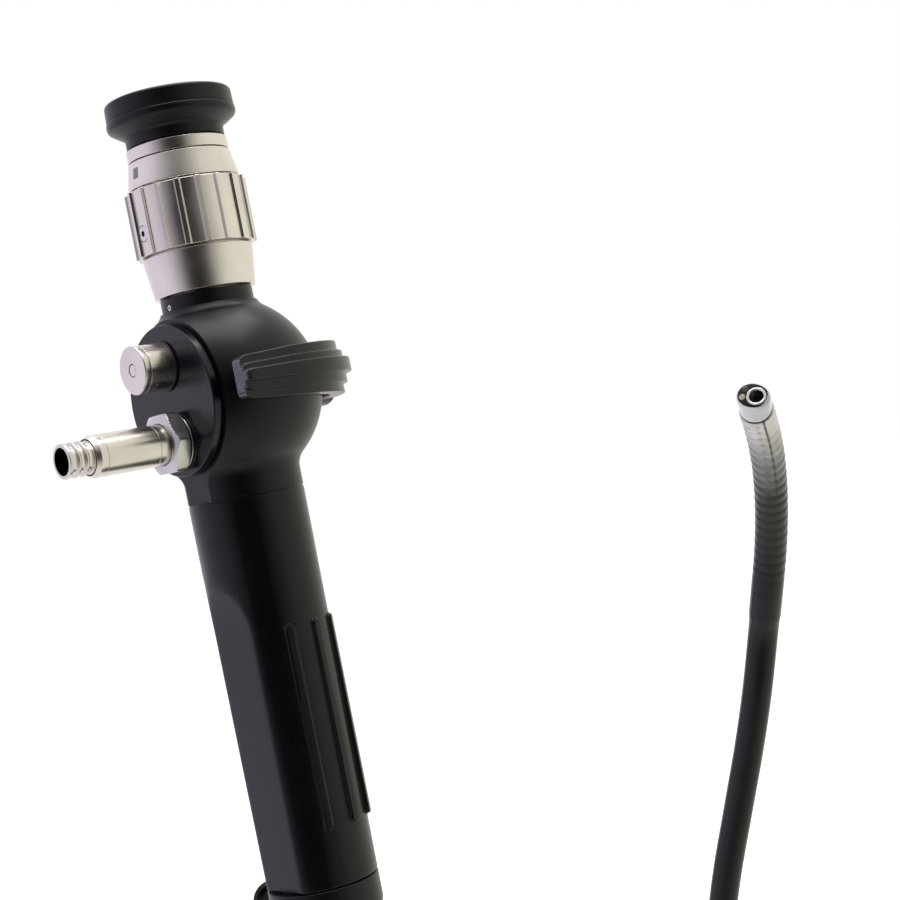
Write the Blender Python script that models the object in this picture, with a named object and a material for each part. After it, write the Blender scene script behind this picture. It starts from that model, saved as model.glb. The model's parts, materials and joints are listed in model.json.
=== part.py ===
"""Flexible endoscope: a hand-held fibre scope with a thumb lever that bends its tip.

Units are metres and +Z is up, along the handle towards the eyecup. The origin is the
middle of the grip. The side plate with its two connectors faces -X, the thumb rest of
the lever faces -Y, and the lever's shaft leaves the ball-shaped case at +X.
"""
import math

import bmesh
import bpy
import numpy as np
from mathutils import Matrix, Vector

MM = 0.001
GAP = 0.3 * MM  # between pieces that touch on the real object
THIN_GAP = 0.1 * MM  # inside the bending section, where the pieces are tiny

# Control body: a ball with a neck above it and a socket for the grip below it
BALL_Z = 73.0 * MM  # centre of the ball above the origin
BALL_R = 23.5 * MM
CASE_WALL = 3.0 * MM
NECK_R = 11.6 * MM
NECK_RISE = 24.6 * MM  # from the ball's centre to the top of the neck
NECK_BORE_R = 9.3 * MM
NECK_STEP = 3.4 * MM  # length of the slimmer collar at the top of the neck
NECK_STEP_DEPTH = 0.35 * MM
NECK_FILLET = 4.0 * MM
FOOT_FILLET = 5.0 * MM
SEAM_DROP = 25.4 * MM  # from the ball's centre down to the seam with the grip
PLATE_SEAT = 13.3 * MM  # distance of the flat for the side plate from the axis
SHAFT_SEAT = 22.9 * MM  # distance of the small flat round the lever's shaft
NECK_SCREW_R = 1.1 * MM
NECK_SCREW_L = 2.6 * MM
NECK_SCREW_RISE = 22.2 * MM
NECK_SCREW_TURN = 90.0  # degrees round the neck from the thumb rest, one each side

# Grip
GRIP_R = 14.2 * MM
GRIP_FOOT_R = 13.7 * MM
GRIP_LENGTH = 95.0 * MM
GRIP_BORE_R = 11.1 * MM
GRIP_SPIGOT_R = 11.9 * MM
GRIP_SPIGOT_H = 5.6 * MM
FLAT_REACH = 10.8 * MM  # distance of the flat from the axis
FLAT_WALL = 1.5 * MM
FLAT_DROP = 21.5 * MM  # from the top of the grip down to where the flat begins
FLAT_RUN_OUT_R = 35.0 * MM
RIB_COUNT = 7
RIB_PITCH = 38.0  # degrees
RIB_WIDTH = 3.0 * MM
RIB_RISE = 0.9 * MM
RIB_DROP = 31.5 * MM  # from the top of the grip to the ribs' upper ends
RIB_LENGTH = 50.0 * MM

# Foot of the handle: block with the channel's port, then the strain relief
BLOCK_LENGTH = 24.0 * MM
BLOCK_FOOT_R = 7.2 * MM
BLOCK_BAND = 7.0 * MM  # straight part below the grip
PORT_TILT = 26.0  # degrees above level
PORT_RISE = 5.5 * MM  # above the block's foot, where the port's axis meets the handle's
PORT_START = 5.0 * MM
PORT_REACH = 30.0 * MM
PORT_R = 3.4 * MM
PORT_BORE_R = 2.1 * MM
PORT_BORE_DEPTH = 9.0 * MM
PORT_FLANGE_R = 4.0 * MM
PORT_FLANGE_H = 1.6 * MM
PORT_BOSS_R = 5.2 * MM
PORT_BOSS_REACH = 18.4 * MM
PORT_COLLAR_H = 1.7 * MM
PORT_NECK_DEPTH = 0.4 * MM  # of the neck below the port's barrel
PORT_SHOULDER = 1.0 * MM
RELIEF_LENGTH = 32.0 * MM
RELIEF_TOP_R = 6.3 * MM
RELIEF_TIP_R = 3.9 * MM
RELIEF_GROOVES = 4
RELIEF_GROOVE_DEPTH = 0.7 * MM
RELIEF_SOCKET = 8.0 * MM  # how far the insertion tube goes up into the strain relief

# Ocular, from the neck upwards
LOWER_BARREL_H = 10.6 * MM
LOWER_BARREL_FOOT_R = 12.25 * MM
LOWER_BARREL_TOP_R = 13.5 * MM
SLEEVE_R = 12.3 * MM  # inner sleeve that the focus ring turns on
SLEEVE_BORE_R = 11.0 * MM
SLEEVE_RISE = 5.6 * MM  # above the focus ring's top
BARREL_FLOOR = 4.0 * MM
RING_H = 16.2 * MM
RING_R = 14.2 * MM
RING_RIDGES = 18
RING_RIDGE_W = 1.3 * MM
RING_RIDGE_RISE = 0.6 * MM
RING_SCREW_R = 1.45 * MM
RING_SCREW_L = 1.4 * MM
RING_SCREW_RISE = 5.4 * MM
UPPER_BARREL_H = 7.2 * MM
UPPER_BARREL_FOOT_R = 13.7 * MM
UPPER_BARREL_TOP_R = 12.45 * MM
OCULAR_BORE_R = 7.5 * MM
COLLAR_H = 3.0 * MM
COLLAR_R = 12.35 * MM
SPIGOT_R = 10.0 * MM
SPIGOT_H = 3.6 * MM

# Eyecup
EYECUP_H = 11.7 * MM
EYECUP_R = 16.0 * MM
EYECUP_SHOULDER_R = 16.35 * MM
EYECUP_NECK_R = 12.0 * MM
EYECUP_BAND = 3.5 * MM
EYECUP_NECK_H = 2.9 * MM
EYECUP_LIP = 1.7 * MM
EYECUP_DISH_R = 9.2 * MM
EYECUP_DISH_DEPTH = 4.4 * MM
WINDOW_R = 7.9 * MM
WINDOW_T = 1.5 * MM
WINDOW_LEDGE = 1.2 * MM

# Focusing lens, moved by a pin in the focus ring's helical groove
CARRIER_BORE_R = 8.6 * MM
CARRIER_H = 12.0 * MM
CARRIER_RISE = 5.0 * MM  # above the foot of the focus ring
FOCUS_TURN = 60.0  # degrees each way
FOCUS_LEAD = 1.9 * MM  # travel for each radian
FOCUS_PIN_R = 0.75 * MM
GROOVE_DEPTH = 0.9 * MM
LENS_EDGE = 1.6 * MM
LENS_BULGE = 1.1 * MM
LEDGE = 1.0 * MM

# Side plate and the leak-test connector above the light-guide post
PLATE_R = 18.3 * MM
PLATE_T = 1.4 * MM
PLATE_EDGE = 0.5 * MM
PLATE_LIP_R = 14.2 * MM
PLATE_LIP_H = 1.6 * MM
GASKET_T = 0.5 * MM
LEAK_RISE = 8.5 * MM
LEAK_R = 5.7 * MM
LEAK_BODY_L = 6.1 * MM
LEAK_FLANGE_OUT_R = 6.5 * MM
WASHER_T = 0.5 * MM
LEAK_CHAMBER_R = 3.9 * MM
LEAK_SPIGOT_R = 3.0 * MM
LEAK_CAP_R = 5.85 * MM
LEAK_CAP_T = 1.5 * MM
LEAK_PIN_R = 1.1 * MM
LEAK_PIN_L = 5.6 * MM
LEAK_PIN_RECESS = 0.3 * MM
LEAK_FLANGE_R = 2.9 * MM
LEAK_FLANGE_T = 0.6 * MM
LEAK_VENT_R = 0.6 * MM
LEAK_FLOOR = 0.8 * MM
SPRING_TURNS = 3
SPRING_WIRE_R = 0.22 * MM
LIGHT_DROP = 9.8 * MM
NUT_ACROSS = 14.0 * MM
NUT_H = 4.2 * MM
NUT_CHAMFER = 1.0 * MM
NUT_WASHER_R = 7.6 * MM
POST_R = 4.95 * MM
POST_L = 23.7 * MM
POST_BORE_R = 3.2 * MM
POST_GROOVE = 0.3 * MM
POST_SPIGOT_R = 4.0 * MM
POST_SOCKET = 4.6 * MM
NIPPLE_R = 4.1 * MM
NIPPLE_ROOT_R = 3.65 * MM
NIPPLE_L = 6.3 * MM
NIPPLE_THREADS = 2
LIGHT_GUIDE_R = 2.2 * MM
LIGHT_GUIDE_RECESS = 6.0 * MM  # of the fibre end inside the post's mouth
LIGHT_GUIDE_REACH = 5.4 * MM  # of its run down the handle from the axis
LIGHT_GUIDE_BEND = 7.0 * MM

# Lever, its shaft, and the drum that pulls the wires
LEVER_INNER_R = 24.7 * MM
LEVER_RISE = 1.0 * MM  # of the band's middle above the shaft's axis
LEVER_TIERS = (  # height and reach from the handle's axis, from the lowest tier up
    (2.4 * MM, 28.6 * MM),
    (2.5 * MM, 29.7 * MM),
    (3.5 * MM, 31.2 * MM),
    (1.9 * MM, 29.7 * MM),
    (2.5 * MM, 28.6 * MM),
)
LEVER_END = 14.0 * MM  # how far the thumb rest runs past the axis
LEVER_END_ROUND = 1.2 * MM
LEVER_TAIL = 16.0  # degrees that the band runs past the hub
LEVER_HUB_R = 7.0 * MM
LEVER_HUB_REACH = 29.4 * MM
SHAFT_R = 2.5 * MM
BUSH_WALL = 1.6 * MM
BUSH_L = 4.0 * MM
BUSH_FLANGE = 1.0 * MM
CAP_HEAD_R = 4.6 * MM
CAP_HEAD_T = 1.3 * MM
DRUM_REACH = 5.0 * MM  # of the drum's middle from the handle's axis
DRUM_R = 8.5 * MM  # at the wire's middle
DRUM_RIM = 1.3 * MM
DRUM_T = 3.6 * MM
DRUM_GROOVE_W = 1.2 * MM
WIRE_R = 0.3 * MM
WIRE_TOP = 1.5 * MM  # start of the straight wire below the shaft's axis
WIRE_LENGTH = 66.0 * MM
COIL_PIPE_R = 0.85 * MM
COIL_PIPE_PLAY = 0.15 * MM  # round the wire
COIL_PIPE_DROP = 46.0 * MM
COIL_PIPE_STANDOFF = 1.0 * MM  # above the channel block
BUNDLE_R = 1.5 * MM
BUNDLE_END_R = 3.0 * MM
BUNDLE_END_L = 8.0 * MM

# Insertion tube: route points chosen by hand, from inside the strain relief round the
# free loop below the handle and up to the bending section
TUBE_R = 2.85 * MM
TUBE_END_RUN = 5.5 * MM  # straight run into the ferrule
TUBE_STEP = 4.2 * TUBE_R  # between the points of the tube's spline
TUBE_TURN = -5.5  # degrees that the tube and its tip are turned about the handle
TUBE_ROUTE = (
    (0.0, 0.0, -0.0980),
    (0.0, 0.0, -0.1130),
    (0.0005, -0.0015, -0.1290),
    (0.0022, -0.0085, -0.1460),
    (0.0055, -0.0215, -0.1605),
    (0.0100, -0.0400, -0.1670),
    (0.0150, -0.0590, -0.1615),
    (0.0192, -0.0750, -0.1460),
    (0.0222, -0.0865, -0.1230),
    (0.0244, -0.0955, -0.0980),
    (0.0261, -0.1043, -0.0730),
    (0.0276, -0.1133, -0.0484),
    (0.0292, -0.1196, -0.0330),
    (0.0304, -0.1250, -0.0205),
    (0.0310, -0.1298, -0.0093),
)

# Bending section: links hinged to each other, in one plane
BEND_BASE = Vector((0.02867, -0.14232, 0.01557))  # first hinge
BEND_HEADING = -109.8  # degrees round Z, where the section starts off
BEND_CLIMB = 56.66  # degrees above level
BEND_ROLL = -130.1  # degrees that the hinge axis is turned about the section
BEND_AT_REST = 32.4  # degrees in all, as the photograph shows it
LINK_COUNT = 14
LINK_PITCH = 2.97 * MM
LINK_SIDES = 12
LINK_R = 2.45 * MM
LINK_WALL = 0.45 * MM
LINK_LEAD = 0.4 * MM  # from the rear hinge to the ring
LUG_R = 0.72 * MM
LUG_T = 0.3 * MM
TONGUE_R = 0.6 * MM
TONGUE_T = 0.3 * MM
RIVET_R = 0.28 * MM
RUBBER_R = 3.0 * MM
RUBBER_WALL = 0.35 * MM
FERRULE_L = 5.0 * MM
LINER_WALL = 0.25 * MM

# Distal tip
TIP_L = 7.4 * MM
TIP_R = 2.75 * MM
TIP_EGG = 0.28 * MM  # how far the nose end of the egg-shaped face reaches out
TIP_ROUND = 0.5 * MM
CHANNEL_R = 1.2 * MM
CHANNEL_RIM = 0.35 * MM
CHANNEL_OFFSET = 0.75 * MM
LENS_R = 0.42 * MM
LENS_OFFSET = 1.5 * MM
LENS_SPREAD = 0.75 * MM
LENS_DEPTH = 1.2 * MM

FINE_SIDES = 24  # sides of the large round pieces
ROUND_SIDES = 18
SMALL_SIDES = 14
TINY_SIDES = 8
OFF_AXIS = (0.31, 0.17, 0.93)  # a direction that no bar's path starts along

# Stations that follow from the sizes above
NECK_TOP = BALL_Z + NECK_RISE
RING_FOOT = NECK_TOP + LOWER_BARREL_H
RING_TOP = RING_FOOT + RING_H
COLLAR_FOOT = RING_TOP + UPPER_BARREL_H
COLLAR_TOP = COLLAR_FOOT + COLLAR_H
EYECUP_TOP = COLLAR_TOP + EYECUP_H
SLEEVE_TOP = RING_TOP + SLEEVE_RISE
SEAM_Z = BALL_Z - SEAM_DROP
GRIP_FOOT = SEAM_Z - GAP - GRIP_LENGTH
BLOCK_TOP = GRIP_FOOT - GAP
BLOCK_FOOT = BLOCK_TOP - BLOCK_LENGTH
RELIEF_TOP = BLOCK_FOOT - GAP
RELIEF_FOOT = RELIEF_TOP - RELIEF_LENGTH
PLATE_BACK = PLATE_SEAT + GAP + GASKET_T + GAP
PLATE_FACE = PLATE_BACK + PLATE_T
CAVITY_R = BALL_R - CASE_WALL
LINK_END = LINK_PITCH - LUG_R - 2 * THIN_GAP  # a ring ends short of the next one's lugs
BALL = Vector((0.0, 0.0, BALL_Z))


def finish(name, colour, roughness, metallic=0.0):
    """A plain Principled material."""
    made = bpy.data.materials.new(name)
    made.use_nodes = True
    shader = made.node_tree.nodes["Principled BSDF"]
    shader.inputs["Base Color"].default_value = (*colour, 1.0)
    shader.inputs["Roughness"].default_value = roughness
    shader.inputs["Metallic"].default_value = metallic
    made.diffuse_color = (*colour, 1.0)
    return made


def outline(*corners, steps=1):
    """2-D points through the corners (a, b) or (a, b, radius). A radius rounds its corner
    in that many steps, where one step is a chamfer."""
    points = []
    flat = [Vector(c[:2]) for c in corners]
    for i, corner in enumerate(corners):
        here = flat[i]
        if len(corner) == 2:
            points.append(tuple(here))
            continue
        before = flat[i - 1] - here
        after = flat[(i + 1) % len(corners)] - here
        half = before.angle(after) / 2
        room = 0.48 * min(before.length, after.length)
        cut = min(corner[2] / math.tan(half), room)
        radius = cut * math.tan(half)
        centre = here + (before.normalized() + after.normalized()).normalized() * (
            radius / math.sin(half)
        )
        start = here + before.normalized() * cut - centre
        end = here + after.normalized() * cut - centre
        sweep = start.angle_signed(end)
        for k in range(steps + 1):
            turn = -sweep * k / steps
            points.append(tuple(centre + Matrix.Rotation(turn, 2) @ start))
    return points


def arc(centre, radius, start, end, steps):
    """Points (a, b) of an arc; the angles are in degrees from the first axis."""
    angles = np.radians(np.linspace(start, end, steps + 1))
    return [(centre[0] + radius * math.cos(t), centre[1] + radius * math.sin(t)) for t in angles]


def skin(rings, ring_loop=False):
    """A closed mesh over rings of points: each ring is joined to the next, and the ends
    are capped, or joined to each other where ring_loop is set."""
    rings = np.asarray(rings, dtype=float)
    count, sides, _ = rings.shape
    work = bmesh.new()
    verts = [[work.verts.new(p) for p in ring] for ring in rings]
    for i in range(count if ring_loop else count - 1):
        lower = verts[i]
        upper = verts[(i + 1) % count]
        for j in range(sides):
            k = (j + 1) % sides
            work.faces.new((lower[j], lower[k], upper[k], upper[j]))
    if not ring_loop:
        for ring in (verts[0], verts[-1]):
            work.faces.new(ring)
    bmesh.ops.remove_doubles(work, verts=work.verts, dist=1e-7)
    bmesh.ops.recalc_face_normals(work, faces=work.faces)
    mesh = bpy.data.meshes.new("skin")
    work.to_mesh(mesh)
    work.free()
    mesh.shade_smooth()
    mesh.set_sharp_from_angle(angle=math.radians(35))
    return mesh


def turned(profile, sides=ROUND_SIDES, hollow=True):
    """A closed mesh turned about Z from (radius, height) points. A hollow profile is a
    loop round a bore; a solid one starts and ends on the axis."""
    profile = np.asarray(profile)
    turn = (np.arange(sides) + 0.5) * 2 * math.pi / sides
    radius, height = profile[:, :1], profile[:, 1:]
    rings = np.stack(
        (radius * np.cos(turn), radius * np.sin(turn), np.repeat(height, sides, axis=1)), axis=2
    )
    return skin(rings, ring_loop=hollow)


def rod(radius, low, high, sides=SMALL_SIDES, edge=0.0):
    """A solid round bar along Z, with its edges broken by edge."""
    rim = (edge,) if edge else ()
    corners = ((0.0, low), (radius, low, *rim), (radius, high, *rim), (0.0, high))
    return turned(outline(*corners), sides, hollow=False)


def pipe(radius, bore, low, high, sides=ROUND_SIDES):
    """A plain tube along Z."""
    return turned([(bore, low), (radius, low), (radius, high), (bore, high)], sides)


def prism(points, low, high, axes="XYZ"):
    """An outline pushed along one axis. axes names where the outline's two directions
    and the push go, so "YZX" draws in the YZ plane and pushes along X."""
    order = ["XYZ".index(a) for a in axes]
    rings = np.zeros((2, len(points), 3))
    for ring, level in zip(rings, (low, high)):
        ring[:, order[0]] = [p[0] for p in points]
        ring[:, order[1]] = [p[1] for p in points]
        ring[:, order[2]] = level
    return skin(rings)


def sweep(path, radius, sides=TINY_SIDES, bore=0.0):
    """A round bar, or a tube where bore is set, along a path of points."""
    path = np.asarray(path, dtype=float)
    along = np.gradient(path, axis=0)
    along /= np.linalg.norm(along, axis=1, keepdims=True)
    side = np.cross(along[0], OFF_AXIS)
    turn = np.linspace(0, 2 * math.pi, sides, endpoint=False)[:, None]
    outer, inner = [], []
    for point, ahead in zip(path, along):
        side = side - ahead * side.dot(ahead)
        side /= np.linalg.norm(side)
        spoke = np.cos(turn) * side + np.sin(turn) * np.cross(ahead, side)
        outer.append(point + radius * spoke)
        inner.append(point + bore * spoke)
    return skin(outer + inner[::-1], ring_loop=True) if bore else skin(outer)


def smooth_route(points, step):
    """Points about a step apart on the smooth curve through the route's own points."""
    points = np.asarray(points, dtype=float)
    ends = np.vstack((2 * points[0] - points[1], points, 2 * points[-1] - points[-2]))
    fine = []
    for a, b, c, d in zip(ends, ends[1:], ends[2:], ends[3:]):
        for t in np.linspace(0, 1, 20, endpoint=False):
            bend = 2 * b + (c - a) * t + (2 * a - 5 * b + 4 * c - d) * t**2
            fine.append((bend + (3 * b - a - 3 * c + d) * t**3) / 2)
    fine = np.array(fine + [points[-1]])
    run = np.r_[0, np.cumsum(np.linalg.norm(np.diff(fine, axis=0), axis=1))]
    at = np.linspace(0, run[-1], round(run[-1] / step) + 1)
    return np.stack([np.interp(at, run, fine[:, k]) for k in range(3)], axis=1)


def add(name, mesh, look, place=Matrix(), pivot=None):
    """A named object at its place, which is counted from its pivot where it has one."""
    mesh.name = name
    mesh.materials.clear()
    mesh.materials.append(look)
    made = bpy.data.objects.new(name, mesh)
    bpy.context.collection.objects.link(made)
    made.parent = pivot
    made.matrix_basis = place
    return made


def pivot_at(name, point):
    """An empty on a joint's axis, which carries the pieces that move there."""
    empty = bpy.data.objects.new(name, None)
    empty.empty_display_size = 5 * MM
    empty.location = point
    bpy.context.collection.objects.link(empty)
    return empty


def shape(target, mesh, place=Matrix(), operation="DIFFERENCE"):
    """Cuts a shape out of an object, or joins it on. The place is counted as the
    object's own is."""
    tool = bpy.data.objects.new(target.name + ".tool", mesh)
    bpy.context.collection.objects.link(tool)
    tool.parent = target.parent
    tool.matrix_basis = place
    tool.hide_render = True
    tool.display_type = "WIRE"
    step = target.modifiers.new(operation.lower(), "BOOLEAN")
    step.operation = operation
    step.solver = "EXACT"
    step.object = tool
    return target


def baked(target):
    """The mesh of an object with its modifiers done, for copies to share."""
    seen = target.evaluated_get(bpy.context.evaluated_depsgraph_get())
    return bpy.data.meshes.new_from_object(seen)


def tidied(mesh):
    """The mesh with its flat faces each in one piece again after the cuts."""
    work = bmesh.new()
    work.from_mesh(mesh)
    bmesh.ops.dissolve_limit(work, angle_limit=0.01, verts=work.verts, edges=work.edges)
    work.to_mesh(mesh)
    work.free()
    return mesh


TO_SIDE = Matrix.Rotation(-math.pi / 2, 4, "Y")  # turns +Z to -X, out of the side plate
TO_HUB = Matrix.Rotation(math.pi / 2, 4, "Y")  # turns +Z to +X, out of the lever's hub
AT_BALL = Matrix.Translation(BALL)
LEAK_AXIS = Matrix.Translation(BALL + Vector((0, 0, LEAK_RISE))) @ TO_SIDE
LIGHT_AXIS = Matrix.Translation(BALL - Vector((0, 0, LIGHT_DROP))) @ TO_SIDE


def case_outline():
    """The case's outer profile from the top of the neck down to the seam."""
    upper_r = NECK_R + NECK_FILLET
    upper_z = math.sqrt((BALL_R + NECK_FILLET) ** 2 - upper_r**2)
    upper_turn = math.degrees(math.atan2(upper_z, upper_r))
    lower_r = GRIP_R + FOOT_FILLET
    lower_z = math.sqrt((BALL_R + FOOT_FILLET) ** 2 - lower_r**2)
    lower_turn = math.degrees(math.atan2(lower_z, lower_r))
    collar_r = NECK_R - NECK_STEP_DEPTH
    step_z = NECK_RISE - NECK_STEP
    points = [(collar_r, NECK_RISE), (collar_r, step_z + NECK_STEP_DEPTH), (NECK_R, step_z)]
    neck = arc((upper_r, upper_z), NECK_FILLET, 180, 180 + upper_turn, 3)
    points += [p for p in neck if p[1] < step_z - NECK_STEP_DEPTH]
    points += arc((0, 0), BALL_R, upper_turn, -lower_turn, 9)[1:-1]
    points += arc((lower_r, -lower_z), FOOT_FILLET, 180 - lower_turn, 180, 3)
    points.append((GRIP_R, -SEAM_DROP))
    return points


def case_cavity():
    """The case's inner profile from the seam back up to the neck's top."""
    socket_r = GRIP_SPIGOT_R + GAP
    low = math.degrees(math.asin(math.sqrt(1 - (socket_r / CAVITY_R) ** 2)))
    high = math.degrees(math.asin(math.sqrt(1 - (NECK_BORE_R / CAVITY_R) ** 2)))
    points = [(socket_r, -SEAM_DROP)]
    points += arc((0, 0), CAVITY_R, -low, high, 6)
    points.append((NECK_BORE_R, NECK_RISE))
    return points


def neck_screw_place(side):
    """Each neck screw points in along the camera-side normal of the neck."""
    turn = Matrix.Rotation(math.radians(NECK_SCREW_TURN * side), 4, "Z")
    tip = Matrix.Rotation(math.pi / 2, 4, "X")
    rise = Matrix.Translation((0, 0, NECK_SCREW_RISE))
    return AT_BALL @ rise @ turn @ tip


def control_body(look):
    case = add("control_body", turned(case_outline() + case_cavity(), FINE_SIDES), look, AT_BALL)
    far = 2 * BALL_R
    plate_flat = rod(far, PLATE_SEAT, far)
    shape(case, plate_flat, AT_BALL @ TO_SIDE)
    shape(case, rod(far / 2, SHAFT_SEAT, far), AT_BALL @ TO_HUB)
    hole_r = SHAFT_R + GAP + BUSH_WALL + GAP
    shape(case, rod(hole_r, BALL_R / 2, far), AT_BALL @ TO_HUB)
    for side in (-1, 1):
        hole = rod(NECK_SCREW_R + GAP, NECK_BORE_R - CASE_WALL, BALL_R, TINY_SIDES)
        shape(case, hole, neck_screw_place(side))
    return case


def neck_screws(look):
    """Two grub screws in the neck, which hold the ocular."""
    outer = NECK_R - NECK_STEP_DEPTH - THIN_GAP
    inner = max(outer - NECK_SCREW_L, NECK_BORE_R + GAP)
    for name, side in (("neck_screw_left", -1), ("neck_screw_right", 1)):
        screw = add(name, rod(NECK_SCREW_R, inner, outer, TINY_SIDES), look, neck_screw_place(side))
        socket = rod(NECK_SCREW_R / 2, outer - NECK_SCREW_R, outer + MM, 6)
        shape(screw, socket, neck_screw_place(side))


def rib_mesh():
    """One raised rib with rounded ends, standing on the grip at +X."""
    half = RIB_WIDTH / 2
    run = RIB_LENGTH / 2 - half
    ends = arc((0, run), half, 0, 180, 4) + arc((0, -run), half, 180, 360, 4)
    sunk = GRIP_FOOT_R - MM
    top = GRIP_R + RIB_RISE
    rings = []
    for reach, inset in ((sunk, 0.0), (top - RIB_RISE / 2, 0.0), (top, RIB_RISE / 2)):
        share = 1 - inset / half
        rings.append([(reach, y * share, z + math.copysign(inset, -z)) for y, z in ends])
    return skin(rings)


def grip(look):
    top = SEAM_Z - GAP
    outer = outline(
        (GRIP_SPIGOT_R, top + GRIP_SPIGOT_H),
        (GRIP_SPIGOT_R, top),
        (GRIP_R, top, 0.25 * MM),
        (GRIP_FOOT_R, GRIP_FOOT, 0.25 * MM),
        (0.0, GRIP_FOOT),
    )
    body = add("grip", turned([(0.0, top + GRIP_SPIGOT_H)] + outer, FINE_SIDES, hollow=False), look)
    run_out = arc((-FLAT_REACH - FLAT_RUN_OUT_R, 0), FLAT_RUN_OUT_R, 0, 50, 12)
    height = top - FLAT_DROP - math.sqrt(
        FLAT_RUN_OUT_R**2 - (FLAT_RUN_OUT_R - GRIP_R + FLAT_REACH) ** 2
    )
    side = [(x, z + height) for x, z in run_out]
    low = GRIP_FOOT - GRIP_R
    side += [(-2 * GRIP_R - FLAT_RUN_OUT_R, side[-1][1]), (-2 * GRIP_R - FLAT_RUN_OUT_R, low)]
    side.append((-FLAT_REACH, low))
    shape(body, prism(side, -2 * GRIP_R, 2 * GRIP_R, "XZY"))
    middle = top - RIB_DROP - RIB_LENGTH / 2
    for k in range(RIB_COUNT):
        turn = math.radians(RIB_PITCH * (k - (RIB_COUNT - 1) / 2))
        place = Matrix.Translation((0, 0, middle)) @ Matrix.Rotation(turn, 4, "Z")
        shape(body, rib_mesh(), place, "UNION")
    wall = FLAT_REACH - FLAT_WALL
    corner = math.degrees(math.acos(wall / GRIP_BORE_R))
    bore = arc((0, 0), GRIP_BORE_R, corner - 180, 180 - corner, 20)
    shape(body, prism(bore, low, BALL_Z))
    return body


def port_place():
    """The channel port's frame: +Z runs out along the port, up and towards +Y."""
    foot = Matrix.Translation((0, 0, BLOCK_FOOT + PORT_RISE))
    return foot @ Matrix.Rotation(math.radians(PORT_TILT - 90), 4, "X")


def channel_block(look):
    """The handle's foot: a cone with a slanted boss that the channel's port screws into."""
    profile = outline(
        (0.0, BLOCK_TOP),
        (GRIP_FOOT_R, BLOCK_TOP, 0.3 * MM),
        (GRIP_FOOT_R, BLOCK_TOP - BLOCK_BAND, 4 * MM),
        (BLOCK_FOOT_R, BLOCK_FOOT, 0.8 * MM),
        (0.0, BLOCK_FOOT),
    )
    block = add("channel_block", turned(profile, FINE_SIDES, hollow=False), look)
    boss = rod(PORT_BOSS_R, 0.0, PORT_BOSS_REACH, ROUND_SIDES, edge=0.8 * MM)
    shape(block, boss, port_place(), "UNION")
    shape(block, rod(PORT_R + GAP, PORT_START, PORT_REACH, ROUND_SIDES), port_place())
    return block


def channel_port(look):
    """A female lock fitting: a tapered barrel with a flange that a cap turns onto."""
    low = PORT_START + GAP
    floor = PORT_REACH - PORT_BORE_DEPTH
    neck = PORT_REACH - PORT_FLANGE_H
    neck_r = PORT_R - PORT_NECK_DEPTH
    collar_top = PORT_BOSS_REACH + GAP + PORT_COLLAR_H
    profile = outline(
        (0.0, low),
        (PORT_R, low, 0.3 * MM),
        (PORT_R, PORT_BOSS_REACH + GAP),
        (PORT_BOSS_R, PORT_BOSS_REACH + GAP, 0.3 * MM),
        (PORT_BOSS_R, collar_top, 0.5 * MM),
        (neck_r, collar_top + PORT_SHOULDER, 0.8 * MM),
        (neck_r, neck - PORT_SHOULDER / 2),
        (PORT_FLANGE_R, neck, 0.3 * MM),
        (PORT_FLANGE_R, PORT_REACH, 0.3 * MM),
        (PORT_BORE_R, PORT_REACH),
        (PORT_BORE_R, floor),
        (0.0, floor),
    )
    return add("channel_port", turned(profile, SMALL_SIDES, hollow=False), look, port_place())


def strain_relief(look):
    """A tapered rubber sleeve with rings cut into it, round the top of the tube."""
    run = RELIEF_LENGTH / (2 * RELIEF_GROOVES + 3)

    def taper(z):
        return np.interp(z, (RELIEF_FOOT, RELIEF_TOP), (RELIEF_TIP_R, RELIEF_TOP_R))

    points = [(0.0, RELIEF_TOP), (RELIEF_TOP_R, RELIEF_TOP)]
    for k in range(RELIEF_GROOVES):
        high = RELIEF_TOP - run * (2 * k + 2)
        low = high - run
        lip = 0.15 * run
        deep = RELIEF_GROOVE_DEPTH
        points += [(taper(high), high), (taper(high) - deep, high - lip)]
        points += [(taper(low) - deep, low + lip), (taper(low), low)]
    socket_r = TUBE_R + GAP
    points += [(RELIEF_TIP_R, RELIEF_FOOT + 0.4 * MM), (RELIEF_TIP_R - 0.3 * MM, RELIEF_FOOT)]
    points += [(socket_r, RELIEF_FOOT), (socket_r, RELIEF_FOOT + RELIEF_SOCKET)]
    points.append((0.0, RELIEF_FOOT + RELIEF_SOCKET))
    return add("strain_relief", turned(points, SMALL_SIDES, hollow=False), look)


def lower_barrel(look):
    """The ocular's base, with the sleeve that the focus ring turns on and a straight
    slot in it for the lens carrier's pin."""
    foot = NECK_TOP + GAP
    top = RING_FOOT - GAP
    profile = outline(
        (NECK_BORE_R - GAP, NECK_TOP - NECK_STEP),
        (NECK_BORE_R - GAP, foot),
        (LOWER_BARREL_FOOT_R, foot, 0.2 * MM),
        (LOWER_BARREL_TOP_R, top, 0.2 * MM),
        (SLEEVE_R, top),
        (SLEEVE_R, SLEEVE_TOP),
        (SLEEVE_BORE_R, SLEEVE_TOP),
        (SLEEVE_BORE_R, foot + BARREL_FLOOR),
        (BUNDLE_END_R + GAP, foot + BARREL_FLOOR),
        (BUNDLE_END_R + GAP, NECK_TOP - NECK_STEP),
    )
    barrel = add("lower_barrel", turned(profile, FINE_SIDES), look)
    middle = RING_FOOT + RING_H / 2
    travel = FOCUS_LEAD * math.radians(FOCUS_TURN) + FOCUS_PIN_R + GAP
    width = FOCUS_PIN_R + GAP
    slot = outline(
        (-width, middle - travel), (width, middle - travel),
        (width, middle + travel), (-width, middle + travel),
    )
    shape(barrel, prism(slot, CARRIER_BORE_R, RING_R, "XZY"))
    return barrel


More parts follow.
